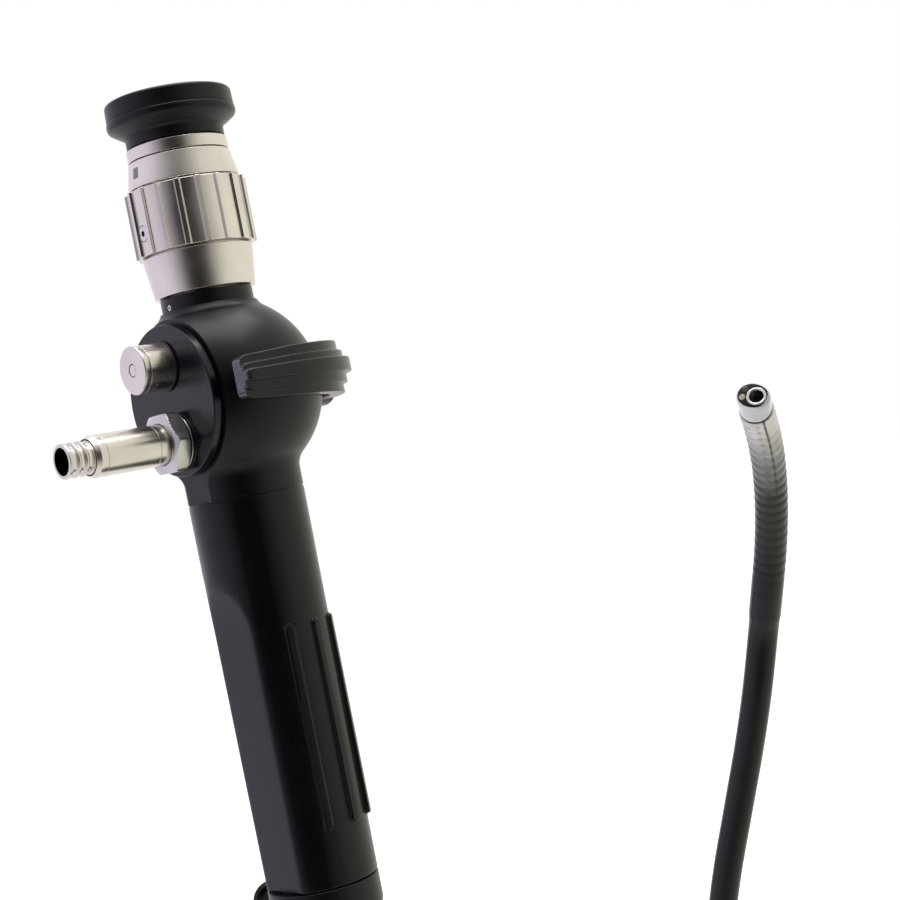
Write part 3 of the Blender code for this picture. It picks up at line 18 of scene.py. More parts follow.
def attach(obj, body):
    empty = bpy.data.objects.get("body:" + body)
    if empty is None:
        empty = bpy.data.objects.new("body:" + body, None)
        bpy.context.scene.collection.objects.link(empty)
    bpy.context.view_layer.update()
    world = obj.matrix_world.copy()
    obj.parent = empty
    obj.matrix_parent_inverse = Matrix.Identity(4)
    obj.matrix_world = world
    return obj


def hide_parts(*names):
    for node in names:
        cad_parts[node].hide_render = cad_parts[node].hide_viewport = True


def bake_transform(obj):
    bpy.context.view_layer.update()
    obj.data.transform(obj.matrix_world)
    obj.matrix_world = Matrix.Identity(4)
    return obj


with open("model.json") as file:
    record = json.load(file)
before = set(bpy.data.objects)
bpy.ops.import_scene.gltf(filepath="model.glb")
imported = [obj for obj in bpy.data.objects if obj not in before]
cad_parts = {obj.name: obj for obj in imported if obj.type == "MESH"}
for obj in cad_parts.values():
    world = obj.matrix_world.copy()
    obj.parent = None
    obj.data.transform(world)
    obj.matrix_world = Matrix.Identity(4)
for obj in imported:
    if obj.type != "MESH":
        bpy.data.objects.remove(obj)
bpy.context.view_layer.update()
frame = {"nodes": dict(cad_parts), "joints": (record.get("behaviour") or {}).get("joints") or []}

MM = 0.001


def new_object(name, data):
    """An object for the data, linked to the scene."""
    made = bpy.data.objects.new(name, data)
    bpy.context.collection.objects.link(made)
    return made


# %% [markdown]
# ## Camera
# The camera looks level at the handle from its left and front, and is rolled so that the
# handle leans in the picture. A long lens keeps the sides nearly parallel.

# %% Camera
VIEW_TURN = math.radians(40.5)  # of the view round the handle, from straight ahead
CAMERA_LEAN = math.atan(0.1997)  # of the handle in the picture
CAMERA_PLACE = (-0.238605, -0.357783, 0.048657)  # in metres


def make_camera():
    """The camera's axes: level right and up, both turned about the view by the lean."""
    level = Vector((math.cos(VIEW_TURN), -math.sin(VIEW_TURN), 0))
    up = Vector((0, 0, 1))
    right = level * math.cos(CAMERA_LEAN) - up * math.sin(CAMERA_LEAN)
    top = level * math.sin(CAMERA_LEAN) + up * math.cos(CAMERA_LEAN)
    back = level.cross(up)
    data = bpy.data.cameras.new("view")
    data.lens = 70
    data.sensor_width = 36
    data.clip_start = 0.01
    camera = new_object("view", data)
    turn = Matrix((right, top, back)).transposed().to_4x4()
    camera.matrix_world = Matrix.Translation(CAMERA_PLACE) @ turn
    bpy.context.scene.camera = camera
    return right, back


view_right, view_back = make_camera()
print("camera:", CAMERA_PLACE)

# %% [markdown]
# ## Helpers for shapes
# Nearly every piece is a profile carried round an axis or along a path. Both are grids of
# points: rows run along the profile's partner, columns run round. One function turns a grid
# into a mesh, merges the poles and makes the faces point outwards.

# %% Grids of points


def grid_mesh(name, grid, loop=False, caps=True, along=None, around=None):
    """Quads between neighbouring rows and columns of grid (rows, columns, 3). The last
    column joins the first. The last row joins the first where loop is set, and otherwise
    the first and last rows are each capped with one face."""
    rows, columns, _ = grid.shape
    index = np.arange(rows * columns).reshape(rows, columns)
    index = np.concatenate((index, index[:, :1]), axis=1)
    if loop:
        index = np.concatenate((index, index[:1]), axis=0)
    quads = np.stack((index[:-1, :-1], index[:-1, 1:], index[1:, 1:], index[1:, :-1]), axis=-1)
    faces = quads.reshape(-1, 4).tolist()
    if caps and not loop:
        faces += [index[0, :-1].tolist(), index[-1, :-1].tolist()]
    mesh = bpy.data.meshes.new(name)
    mesh.from_pydata(grid.reshape(-1, 3).tolist(), [], faces)
    if along is not None:
        layer = mesh.attributes.new("along", "FLOAT", "POINT")
        layer.data.foreach_set("value", np.repeat(along, columns).astype(np.float32))
    if around is not None:
        layer = mesh.attributes.new("around", "FLOAT", "POINT")
        layer.data.foreach_set("value", np.tile(around, rows).astype(np.float32))
    work = bmesh.new()
    work.from_mesh(mesh)
    bmesh.ops.remove_doubles(work, verts=work.verts, dist=1e-6)
    bmesh.ops.dissolve_degenerate(work, edges=work.edges, dist=1e-7)
    bmesh.ops.recalc_face_normals(work, faces=work.faces)
    work.to_mesh(mesh)
    work.free()
    return mesh


SHARP_EDGE = math.radians(32)  # from this turn between its faces on, an edge stays sharp


def piece(name, mesh, look, body, *nodes):
    """A finished piece: its material, the CAD nodes that it stands for, and its body."""
    mesh.shade_smooth()
    mesh.set_sharp_from_angle(angle=SHARP_EDGE)
    made = new_object(name, mesh)
    made.data.materials.append(look)
    made.modifiers.new("even_shading", "WEIGHTED_NORMAL").keep_sharp = True
    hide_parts(*nodes)
    if body:
        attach(made, body)
    return made


def paint(made, look, chosen, place=Matrix()):
    """Gives the faces that chosen(r, x, y, z) picks a second material. The middles of the
    faces are in millimetres from the place, and r is their distance from its Z."""
    count = len(made.data.polygons)
    centre = np.empty(count * 3)
    made.data.polygons.foreach_get("center", centre)
    centre = centre.reshape(-1, 3) - np.array(place.translation)
    x, y, z = (centre @ np.array(place.to_3x3()) / MM).T
    picked = chosen(np.hypot(x, y), x, y, z)
    made.data.materials.append(look)
    made.data.polygons.foreach_set("material_index", picked.astype(np.int32))
    return int(picked.sum())


def combined(operation, mesh, *tools):
    """The mesh with each tool's shape added or taken out by an exact Boolean."""
    work, *spare = [new_object("work", part) for part in (mesh, *tools)]
    for tool in spare:
        step = work.modifiers.new("step", "BOOLEAN")
        step.operation, step.solver, step.object = operation, "EXACT", tool
    seen = work.evaluated_get(bpy.context.evaluated_depsgraph_get())
    result = bpy.data.meshes.new_from_object(seen)
    for old in (work, *spare):
        bpy.data.objects.remove(old)
    return result


def cut(mesh, *tools):
    """The mesh with each tool's shape taken out of it."""
    return combined("DIFFERENCE", mesh, *tools)


print("shape helpers ready")

# %% [markdown]
# A profile is drawn from its corners, each with the radius that the tool or the mould left
# on it. The radius becomes a short arc that touches both sides of its corner.

# %% Profiles and lathes


def profile(*corners, steps=6):
    """Points (a, b) in millimetres. A corner (a, b, r) becomes an arc of radius r: its
    centre lies on the corner's bisector, r over the sine of the half angle away."""
    flat = np.array([c[:2] for c in corners], float)
    points = []
    for here, before, after, corner in zip(flat, np.roll(flat, 1, 0), np.roll(flat, -1, 0), corners):
        if len(corner) == 2:
            points.append(here[None])
            continue
        back, ahead = before - here, after - here
        room = 0.48 * min(np.linalg.norm(back), np.linalg.norm(ahead))
        back /= np.linalg.norm(back)
        ahead /= np.linalg.norm(ahead)
        half = math.acos(np.clip(back @ ahead, -1, 1)) / 2
        run = min(corner[2] / math.tan(half), room)
        radius = run * math.tan(half)
        middle = (back + ahead) / np.linalg.norm(back + ahead)
        centre = here + middle * radius / math.sin(half)
        first = here + back * run - centre
        last = here + ahead * run - centre
        sweep = math.atan2(first[0] * last[1] - first[1] * last[0], first @ last)
        turn = np.linspace(0, sweep, steps + 1)
        cos, sin = np.cos(turn)[:, None], np.sin(turn)[:, None]
        points.append(centre + cos * first + sin * np.array((-first[1], first[0])))
    return np.concatenate(points)


def arc(centre, radius, start, end, steps=24):
    """Points of an arc (centre + radius times cosine and sine), angles in degrees."""
    turn = np.radians(np.linspace(start, end, steps + 1))
    return np.stack((centre[0] + radius * np.cos(turn), centre[1] + radius * np.sin(turn)), 1)


def placed(grid, place):
    """A grid in millimetres moved to its place in the frame, in metres."""
    turn = np.array(place.to_3x3())
    return grid @ turn.T * MM + np.array(place.translation)


def rings(radius, turn, level):
    """A grid of rings: (r cos t, r sin t, level)."""
    x, y = radius * np.cos(turn), radius * np.sin(turn)
    return np.stack((x, y, level + 0 * x), axis=2)


def lathe(points, place=Matrix(), sides=144, loop=True):
    """The profile (r, h) goes round the axis."""
    turn = np.linspace(0, 2 * math.pi, sides, endpoint=False)
    grid = rings(points[:, :1], turn, points[:, 1:])
    return grid_mesh("lathe", placed(grid, place), loop=loop, caps=False)


def rod(radius, low, high, place=Matrix(), sides=48):
    """A plain round bar along the place's own Z."""
    return lathe(np.array(((0, low), (radius, low), (radius, high), (0, high))), place, sides, False)


TO_SIDE = Matrix.Rotation(-math.pi / 2, 4, "Y")  # local +Z turns to -X, and +X to +Z
TO_HUB = Matrix.Rotation(math.pi / 2, 4, "Y")
joints = {j["name"]: j for j in frame["joints"]}
BALL = Vector(joints["lever_swing"]["pos_m"])  # the lever swings about the ball's middle
AT_BALL = Matrix.Translation(BALL)


def beside_ball(up, turn):
    """A place up mm above the ball's middle, with its Z turned to one side."""
    return AT_BALL @ Matrix.Translation((0, 0, up * MM)) @ turn


def turned(name, corners, look, body, *nodes, place=AT_BALL, sides=144, steps=6):
    """A piece from its profile's corners: solid where the profile starts on the axis."""
    hollow = corners[0][0] > 0
    mesh = lathe(profile(*corners, steps=steps), place, sides, hollow)
    return piece(name, mesh, look, body, *nodes)


print("ball centre:", tuple(BALL))

# %% [markdown]
# ## Finishes
# A colour is an sRGB hex value, chosen to look like the photograph's, and is turned
# to the linear value that a shader works in. Small functions add the nodes.

# %% Helpers for finishes


def linear(code):
    """sRGB hex to linear: below 0.04045 divided by 12.92, above it a 2.4 power."""
    part = np.array([int(code[i:i + 2], 16) for i in (1, 3, 5)]) / 255
    low, high = part / 12.92, ((part + 0.055) / 1.055) ** 2.4
    return (*np.where(part <= 0.04045, low, high).tolist(), 1.0)


def add_node(tree, kind, inputs=None, **settings):
    """Adds a node. Settings are its own properties. Inputs map a socket's name or number
    to a value, or to the output socket that feeds it."""
    made = tree.nodes.new(kind)
    for key, value in settings.items():
        setattr(made, key, value)
    for key, value in (inputs or {}).items():
        if isinstance(value, bpy.types.NodeSocket):
            tree.links.new(value, made.inputs[key])
        else:
            made.inputs[key].default_value = value
    return made


def finish(name, colour, roughness, metallic=0.0, **sockets):
    """A material with constant values on the shader's own sockets, and what a pattern on
    it needs: its node tree, its shader and the object's own coordinates."""
    made = bpy.data.materials.new(name)
    made.use_nodes = True
    tree = made.node_tree
    shader = tree.nodes["Principled BSDF"]
    shader.inputs["Base Color"].default_value = linear(colour)
    shader.inputs["Roughness"].default_value = roughness
    shader.inputs["Metallic"].default_value = metallic
    for key, value in sockets.items():
        shader.inputs[key.replace("_", " ")].default_value = value
    made.diffuse_color = linear(colour)
    return made, tree, shader, add_node(tree, "ShaderNodeTexCoord").outputs["Object"]


def noise(tree, space, scale, detail):
    """A noise's value. Its scale is in cycles a metre."""
    inputs = {"Vector": space, "Scale": scale, "Detail": detail}
    return add_node(tree, "ShaderNodeTexNoise", inputs).outputs["Fac"]


def feed(tree, shader, socket, value):
    tree.links.new(value, shader.inputs[socket])


def bump(tree, shader, height, strength, depth):
    """A bump on the shader, as deep as depth in mm."""
    inputs = {"Height": height, "Strength": strength, "Distance": depth * MM}
    feed(tree, shader, "Normal", add_node(tree, "ShaderNodeBump", inputs).outputs["Normal"])


def math_node(tree, operation, *values):
    return add_node(tree, "ShaderNodeMath", dict(enumerate(values)), operation=operation).outputs[0]


def mixed(tree, share, low, high, **settings):
    """Two colours mixed. A mix node's sockets 0, 6 and 7 are its share and the colours."""
    inputs = {0: share, 6: low, 7: high}
    return add_node(tree, "ShaderNodeMix", inputs, data_type="RGBA", **settings).outputs[2]


def ramp(tree, value, *stops):
    """A colour ramp over (place, hex colour) stops."""
    made = add_node(tree, "ShaderNodeValToRGB", {"Fac": value})
    band = made.color_ramp
    while len(band.elements) < len(stops):
        band.elements.new(0.5)
    for element, (place, colour) in zip(band.elements, stops):
        element.position = place
        element.color = linear(colour)
    return made.outputs["Color"]


def spread(tree, value, low, high, to_low, to_high):
    """Maps value from one range to another."""
    made = add_node(tree, "ShaderNodeMapRange", {
        "Value": value, "From Min": low, "From Max": high, "To Min": to_low, "To Max": to_high,
    })
    return made.outputs["Result"]


print("finish helpers ready")

# %% [markdown]
# ### Black finishes
# The ball and the side plate are aluminium, bead blasted and anodised black: satin, with a
# grain of a few hundredths of a millimetre, drawn here about three times coarser so that it
# shows. The grip and the lever are moulded, so they are smoother and slightly bluer.

# %% Black finishes


def black_finish(name, dark, pale, grit, roughness, depth, shine=0.5, **sockets):
    """Two nearly black tones over a slow noise, and a bump as fine as the grit in mm."""
    made, tree, shader, space = finish(name, dark, roughness, Specular_IOR_Level=shine, **sockets)
    fine = noise(tree, space, 1 / (grit * MM), 2)
    feed(tree, shader, "Base Color", ramp(tree, noise(tree, space, 60, 4), (0.35, dark), (0.7, pale)))
    wander = spread(tree, fine, 0.3, 0.7, roughness - 0.04, roughness + 0.06)
    feed(tree, shader, "Roughness", wander)
    bump(tree, shader, fine, 0.35, depth)
    return made


anodised = black_finish("black anodised aluminium, bead blasted", "#050508", "#09090d",
                        0.18, 0.34, 0.010, 0.26)
anodised_gloss = black_finish("black anodised aluminium, polished", "#06060c", "#0b0b14",
                              0.3, 0.24, 0.003, 0.30)
moulded = black_finish("black moulded polysulfone", "#040508", "#08090d", 0.35, 0.28, 0.005, 0.26)
nylon = black_finish("black moulded nylon", "#060709", "#0b0c0e", 0.25, 0.27, 0.003, 0.32)
rubber = black_finish("black moulded silicone rubber", "#0d0d0e", "#151516", 0.4, 0.50, 0.02)
print("black finishes:", anodised.name, moulded.name, nylon.name, rubber.name)

# %% [markdown]
# ### Metals
# The barrels, the light post and the leak-test connector are brass under satin nickel: a
# warm white metal whose reflections are broad and soft. Turned steel keeps faint rings round
# its axis, so its noise is squeezed along that axis.

# %% Metals


def metal_finish(name, dark, pale, roughness, rings=None, depth=0.001):
    """Nearly one tone, with a roughness that wanders. Rings is the axis of turning: the
    noise is stretched round it to a pitch of 0.12 mm along it."""
    made, tree, shader, space = finish(name, pale, roughness, 1.0)
    pitch = [1 / (0.12 * MM) if axis == rings else 40.0 for axis in "XYZ"]
    scale = pitch if rings else [1 / (0.16 * MM)] * 3
    squeezed = add_node(tree, "ShaderNodeMapping", {"Vector": space, "Scale": scale}).outputs["Vector"]
    slow = noise(tree, space, 90, 5)
    feed(tree, shader, "Base Color", ramp(tree, slow, (0.3, dark), (0.65, pale)))
    wander = spread(tree, slow, 0.3, 0.7, roughness - 0.03, roughness + 0.05)
    feed(tree, shader, "Roughness", wander)
    bump(tree, shader, noise(tree, squeezed, 1, 2), 0.25, depth)
    return made


nickel = metal_finish("satin nickel plate", "#cfc9c3", "#dcd7d0", 0.27)
nickel_turned = metal_finish("satin nickel plate, turned about X", "#cdc7bf", "#dbd6ce", 0.24, "X")
steel = metal_finish("stainless steel", "#b9b7b4", "#c9c8c6", 0.25)
steel_bright = metal_finish("stainless steel, polished", "#c4c3c1", "#d2d1d0", 0.16)
etched = metal_finish("nickel plate, etched dull", "#7d7a78", "#8b8886", 0.5)
brass = metal_finish("turned brass", "#b9954f", "#cba964", 0.28, "Z")
print("metals:", nickel.name, steel.name, brass.name)

# %% [markdown]
# ### Glass, fibre ends and plastics
# The lenses are glass with a dark coating. A fibre bundle's polished end is thousands of
# bright dots, drawn as the cells of a Voronoi pattern at ten times the real fibre's size.

# %% Glass and fibre


def lens_glass(name, tint):
    made, tree, shader, space = finish(
        name, tint, 0.03, IOR=1.52, Transmission_Weight=1.0, Coat_Weight=0.6, Coat_Roughness=0.02)
    dust = noise(tree, space, 900, 3)
    feed(tree, shader, "Roughness", spread(tree, dust, 0.55, 0.8, 0.02, 0.12))
    return made


def dotted_finish(name, gap_colour, dot_colour, size):
    """Voronoi cells of the given size in mm: pale middles, dark borders."""
    made, tree, shader, space = finish(name, dot_colour, 0.18)
    cells = add_node(tree, "ShaderNodeTexVoronoi", {"Vector": space, "Scale": 1 / (size * MM)})
    tone = ramp(tree, cells.outputs["Distance"], (0.25, dot_colour), (0.6, gap_colour))
    feed(tree, shader, "Base Color", tone)
    return made


glass = lens_glass("coated crown glass", "#dfe6ea")
dark_glass = black_finish("objective lens, coated glass", "#05060a", "#0a0b12", 2.0, 0.06, 0.0,
                          Coat_Weight=1.0)
fibre = dotted_finish("polished fibre bundle", "#6b6250", "#e9e2cf", 0.08)
ptfe = black_finish("white fluoropolymer", "#d6d6d0", "#e6e6e1", 0.3, 0.36, 0.004)
print("glass and fibre:", glass.name, fibre.name)

# %% [markdown]
# ### The sheath
# The tube's polyurethane is smooth and black. Over the bending section it is a thin rubber
# drawn over steel rings. Near the tip its colour is a painted grey reflection of the bright
# studio, which fades to black over four centimetres. The fade follows an attribute that holds
# the distance to the tip.

# %% Sheath
DARK_STRIPE_TURN = 5.51  # angle round the rubber of a darker stripe along it, in radians


def sheath_finish():
    """Painted grey reflection near the tip, fading to black over the distance to the tip, with a
    little bump along the way. A darker stripe runs along the rubber at one angle round it, and
    fades out away from the tip."""
    made, tree, shader, space = finish("black polyurethane sheath", "#070709", 0.3,
                                       Specular_IOR_Level=0.28)
    way, turn = (add_node(tree, "ShaderNodeAttribute", attribute_name=name).outputs["Fac"]
                 for name in ("along", "around"))
    uneven = math_node(tree, "MULTIPLY", noise(tree, space, 260, 4), 0.18)
    total = math_node(tree, "ADD", spread(tree, way, 0.004, 0.046, 0.0, 1.0), uneven)
    # Painted reflection: the grey near the tip stands for the bright studio mirrored in the rubber.
    tone = ramp(tree, total, (0.08, "#c9c7c5"), (0.3, "#858381"), (0.58, "#2c2b2a"), (1.0, "#070709"))
    off = math_node(tree, "ABSOLUTE", math_node(tree, "SUBTRACT", turn, DARK_STRIPE_TURN))
    faded = math_node(tree, "MULTIPLY", spread(tree, off, 0.035, 0.10, 0.82, 0.0),
                      spread(tree, way, 0.004, 0.036, 1.0, 0.0))
    feed(tree, shader, "Base Color", mixed(tree, faded, tone, linear("#121212")))
    feed(tree, shader, "Metallic", spread(tree, total, 0.1, 0.9, 0.8, 0.0))
    bump(tree, shader, noise(tree, space, 1 / (0.5 * MM), 2), 0.3, 0.01)
    return made


sheath = sheath_finish()
print("sheath:", sheath.name)

# %% [markdown]
# ## Insertion tube
# The tube is a steel coil and braid under polyurethane, so stiff that a third of a metre of
# it stands up by itself. Its route is a handful of listed points, and a smooth curve
# runs through them. A ring of points follows the curve, turned as little as possible.

# %% Paths
TUBE_R, TIP_L = 2.85, 7.4
TUBE_ROUTE = (  # in metres
    (0.0, 0.0, -0.0980),
    (0.0, 0.0, -0.1130),
    (0.0005, -0.0015, -0.1290),
    (0.0022, -0.0085, -0.1460),
    (0.0055, -0.0215, -0.1605),
    (0.0100, -0.0400, -0.1670),
    (0.0150, -0.0590, -0.1615),
    (0.0192, -0.0750, -0.1460),
    (0.0222, -0.0865, -0.1230),
    (0.0244, -0.0955, -0.0980),
    (0.0261, -0.1043, -0.0730),
    (0.0276, -0.1133, -0.0484),
    (0.0292, -0.1196, -0.0330),
    (0.0304, -0.1250, -0.0205),
    (0.0310, -0.1298, -0.0093),
)
TUBE_END_RUN = 5.5  # straight stretch into the ferrule
TUBE_TURN = math.radians(-5.5)  # of the whole route about the handle


def about_handle(points, turn):
    """Points turned about the handle's axis: (x cos a - y sin a, x sin a + y cos a, z)."""
    x, y, z = np.asarray(points, float).T
    cos, sin = math.cos(turn), math.sin(turn)
    return np.stack((x * cos - y * sin, x * sin + y * cos, z), axis=1)


def smooth_curve(points, step):
    """The Catmull-Rom curve through the points, read again at even steps in metres: each
    span is a cubic in t of its two ends and their neighbours."""
    points = np.asarray(points, float)
    ends = np.vstack((2 * points[0] - points[1], points, 2 * points[-1] - points[-2]))
    a, b, c, d = ends[:-3, None], ends[1:-2, None], ends[2:-1, None], ends[3:, None]
    t = np.linspace(0, 1, 20, endpoint=False)[None, :, None]
    spans = 2 * b + (c - a) * t + (2 * a - 5 * b + 4 * c - d) * t**2 + (3 * b - a - 3 * c + d) * t**3
    fine = np.vstack((spans.reshape(-1, 3) / 2, points[-1]))
    run = np.r_[0, np.cumsum(np.linalg.norm(np.diff(fine, axis=0), axis=1))]
    at = np.linspace(0, run[-1], round(run[-1] / step) + 1)
    return np.stack([np.interp(at, run, fine[:, k]) for k in range(3)], axis=1)


def tube_grid(path, radius, across, sides=48):
    """Rings round the path: the centre plus radius times (side cos t + other sin t). The
    side is across, made square to the path at each point."""
    ahead = np.gradient(path, axis=0)
    ahead /= np.linalg.norm(ahead, axis=1, keepdims=True)
    side = across - ahead * (ahead @ across)[:, None]
    side /= np.linalg.norm(side, axis=1, keepdims=True)
    other = np.cross(ahead, side)
    turn = np.linspace(0, 2 * math.pi, sides, endpoint=False)[None, :, None]
    spoke = side[:, None] * np.cos(turn) + other[:, None] * np.sin(turn)
    return path[:, None] + np.reshape(radius, (-1, 1, 1)) * spoke


print("route points:", len(TUBE_ROUTE))

# %% [markdown]
# The bending section starts where the tube ends. Its hinges come from the frame's joints:
# they all turn about one direction, and each link runs from its hinge to the next.

# %% Hinges of the bending section
hinge_names = sorted(name for name in joints if name.startswith("bend_"))
hinges = np.array([joints[name]["pos_m"] for name in hinge_names])
BEND_AXIS = np.array(joints[hinge_names[0]]["axis"])
BEND_AXIS /= np.linalg.norm(BEND_AXIS)
ahead = np.diff(hinges, axis=0)
PITCH = float(np.linalg.norm(ahead, axis=1).mean())
ahead /= np.linalg.norm(ahead, axis=1, keepdims=True)
REST_STEP = math.acos(np.clip(ahead[0] @ ahead[-1], -1, 1)) / (len(ahead) - 1)


def swung(direction, angle):
    """A direction turned about the hinges' axis."""
    turn = Matrix.Rotation(angle, 3, Vector(BEND_AXIS))
    return np.array(turn @ Vector(direction))


ahead = np.vstack((ahead, swung(ahead[-1], REST_STEP)))
START = swung(ahead[0], -REST_STEP)
TIP_FOOT = hinges[-1] + ahead[-1] * PITCH
print("links:", len(hinges), "pitch mm:", round(PITCH / MM, 3))

# %% [markdown]
# The tube ends just inside the steel sleeve that carries the first ring, so its last two
# points lie on that sleeve's axis.

# %% Insertion tube
FERRULE_L = 5.0
BEYOND_TUBE = 0.055  # from the tube's end to the tip, in metres, for the sheath's fade
COVER_START = 1.85  # of the rubber, behind the base ring
FERRULE_TOP = hinges[0] - START * (PITCH + (COVER_START + 0.3) * MM)
TUBE_END = FERRULE_TOP - START * (FERRULE_L + 0.6) * MM


def frame_of(origin, along_axis):
    """A place whose Z runs along the given direction and whose X is the hinges' axis."""
    side = np.cross(along_axis, BEND_AXIS)
    turn = Matrix((Vector(BEND_AXIS), Vector(side), Vector(along_axis))).transposed().to_4x4()
    return Matrix.Translation(Vector(origin)) @ turn


tube_path = smooth_curve(np.vstack((
    about_handle(TUBE_ROUTE, TUBE_TURN), TUBE_END - START * TUBE_END_RUN * MM, TUBE_END,
)), 2 * MM)
run_left = np.linalg.norm(np.diff(tube_path, axis=0), axis=1)[::-1].cumsum()[::-1]
to_tip = np.r_[run_left, 0] + BEYOND_TUBE
tube_mesh = grid_mesh("tube", tube_grid(tube_path, TUBE_R * MM, BEND_AXIS), along=to_tip)
tube = piece("sheathed_tube", tube_mesh, sheath, "handle", "insertion_tube")
tube_length = float(run_left[0])
print("tube length m:", round(tube_length, 4))

# %% [markdown]
# Where the tube meets the bending section, a steel sleeve joins the two. On the real scope
# it is wound with thread and sealed with black epoxy, so no metal shows: a smooth band a
# little wider than the tube.

# %% Sealed joint
sealed = black_finish("black epoxy over thread", "#070709", "#0b0b0d", 0.5, 0.28, 0.006, 0.28)
at_ferrule = frame_of(FERRULE_TOP, START)
joint_mesh = lathe(profile(
    (2.0, -FERRULE_L), (TUBE_R + 0.01, -FERRULE_L), (TUBE_R + 0.01, -FERRULE_L - 2.4),
    (3.0, -FERRULE_L - 0.6, 0.8), (3.0, 0.26, 0.06), (2.0, 0.26),
), at_ferrule, 64)
sealed_joint = piece("sealed_joint", joint_mesh, sealed, "handle", "shaft_ferrule")
print("sealed joint at", tuple(round(v, 4) for v in FERRULE_TOP))

# %% [markdown]
# ## Bending section
# Fourteen steel rings hinge on each other under a thin rubber. The rubber sinks a little
# between the rings and stands up over them, so it shows as even ripples. It has to follow
# fourteen joints, and a piece can bend over one joint only, so it is made as fourteen
# sleeves that meet in the middle of the links, though none of them is attached to a link's
# body here. One long grid is worked out for all of them and then cut into lengths, so that
# nothing shows where they meet.

# %% Path of the rubber
ROWS, LEAD_ROWS, TAIL_ROWS, SLEEVE_SIDES = 24, 12, 16, 56  # ROWS for each link
RUBBER_R, RUBBER_WALL = 3.0, 0.33
RIPPLE_PITCH, RIPPLE = 2.2, 0.2
t = np.linspace(0, 1, ROWS, endpoint=False)[:, None]
middles = np.vstack((hinges[0] - START * PITCH / 2, hinges + ahead * PITCH / 2))
a, b, c = middles[:-1, None], hinges[:, None], middles[1:, None]
bends = (a * (1 - t) ** 2 + 2 * b * t * (1 - t) + c * t**2).reshape(-1, 3)
run = np.linspace(0, 1, LEAD_ROWS, endpoint=False)[:, None]
base_start = hinges[0] - START * (PITCH + COVER_START * MM)
cover_end = TIP_FOOT + ahead[-1] * TIP_L / 3 * MM
lead = base_start + (middles[0] - base_start) * run
tail = middles[-1] + (cover_end - middles[-1]) * np.linspace(0, 1, TAIL_ROWS)[:, None]
cover_path = np.vstack((lead, bends, tail))
way = np.r_[0, np.cumsum(np.linalg.norm(np.diff(cover_path, axis=0), axis=1))]
to_end = way[-1] - way
print("rubber length mm:", round(way[-1] / MM, 2))

# %% [markdown]
# The rubber sinks slowly behind each ring and comes back fast, so the radius follows the
# distance to the tip with one slow and one quick smooth step. The ripples are deep near
# the tip and fade towards the tube, and each sleeve is closed with an inner wall.

# %% Sleeves of rubber


def smooth(value, low, high):
    """0 below low, 1 above high, and 3 s^2 - 2 s^3 of the share s in between."""
    s = np.clip((value - low) / (high - low), 0, 1)
    return s * s * (3 - 2 * s)


def cover_sleeves():
    held = smooth(way, 1 * MM, 5 * MM) * smooth(to_end, 0.5 * MM, 2.5 * MM)
    phase = to_end / (RIPPLE_PITCH * MM) % 1
    wave = np.where(phase < 0.72, smooth(phase, 0, 0.72) ** 2, 1 - smooth(phase, 0.72, 1))
    held = held * (0.3 + 0.7 * (1 - smooth(to_end, 8 * MM, 36 * MM)))
    end_round = 0.25 * MM * (1 - np.sqrt(1 - (1 - smooth(to_end, 0, 0.5 * MM)) ** 2 * 0.9))
    outer = (RUBBER_R - RIPPLE * held * wave) * MM - end_round
    inner = np.full(len(way), (RUBBER_R - RUBBER_WALL) * MM)
    skins = [tube_grid(cover_path, radius, BEND_AXIS, SLEEVE_SIDES) for radius in (outer, inner)]
    turn = np.linspace(0, 2 * math.pi, SLEEVE_SIDES, endpoint=False)
    cuts = [0] + [LEAD_ROWS + ROWS * k for k in range(1, len(hinges))] + [len(way) - 1]
    made = []
    for k, (low, high) in enumerate(zip(cuts, cuts[1:])):
        span = slice(low, high + 1)
        grid = np.concatenate((skins[0][span], skins[1][span][::-1]))
        distance = np.r_[to_end[span], to_end[span][::-1]]
        mesh = grid_mesh("sleeve", grid, loop=True, along=distance, around=turn)
        made.append(piece(f"cover_{k + 1:02d}", mesh, sheath, None, "bending_rubber"))
        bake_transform(made[-1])
    return made


sleeves = cover_sleeves()
print("sleeves:", len(sleeves))

# %% [markdown]
# ## Tip
# The tip is drawn as ground zirconia, which is a guess: steel looks much the same. Its face
# is egg-shaped, because the channel's mouth needs more room than the lenses beside it. Its
# body is a grid of rings whose radius grows on one side.

# %% Tip body
TIP_R, TIP_EGG = 2.75, 0.28
at_tip = frame_of(TIP_FOOT, ahead[-1])
tip_grey = black_finish("grey zirconia ceramic, ground", "#c2bfc3", "#d5d2d5", 0.3, 0.2, 0.004,
                        Coat_Weight=0.5)
dark_metal = metal_finish("stainless steel, blackened", "#1b1a1a", "#2b2a29", 0.42, None, 0.004)


def egg_grid(levels, radii, noses, sides=96):
    """Rings (r cos t, r sin t, level). On the side of +X the radius r is longer by the
    nose times cos^2 t, and across it the ring is slimmer by the nose times sin^2 t."""
    turn = np.linspace(0, 2 * math.pi, sides, endpoint=False)[None]
    level, radius, nose = (np.asarray(v, float)[:, None] for v in (levels, radii, noses))
    reach = radius + nose * np.maximum(np.cos(turn), 0) ** 2
    slim = 1 - nose / np.maximum(radius, 0.5) * np.sin(turn) ** 2
    return rings(reach * slim, turn, level)


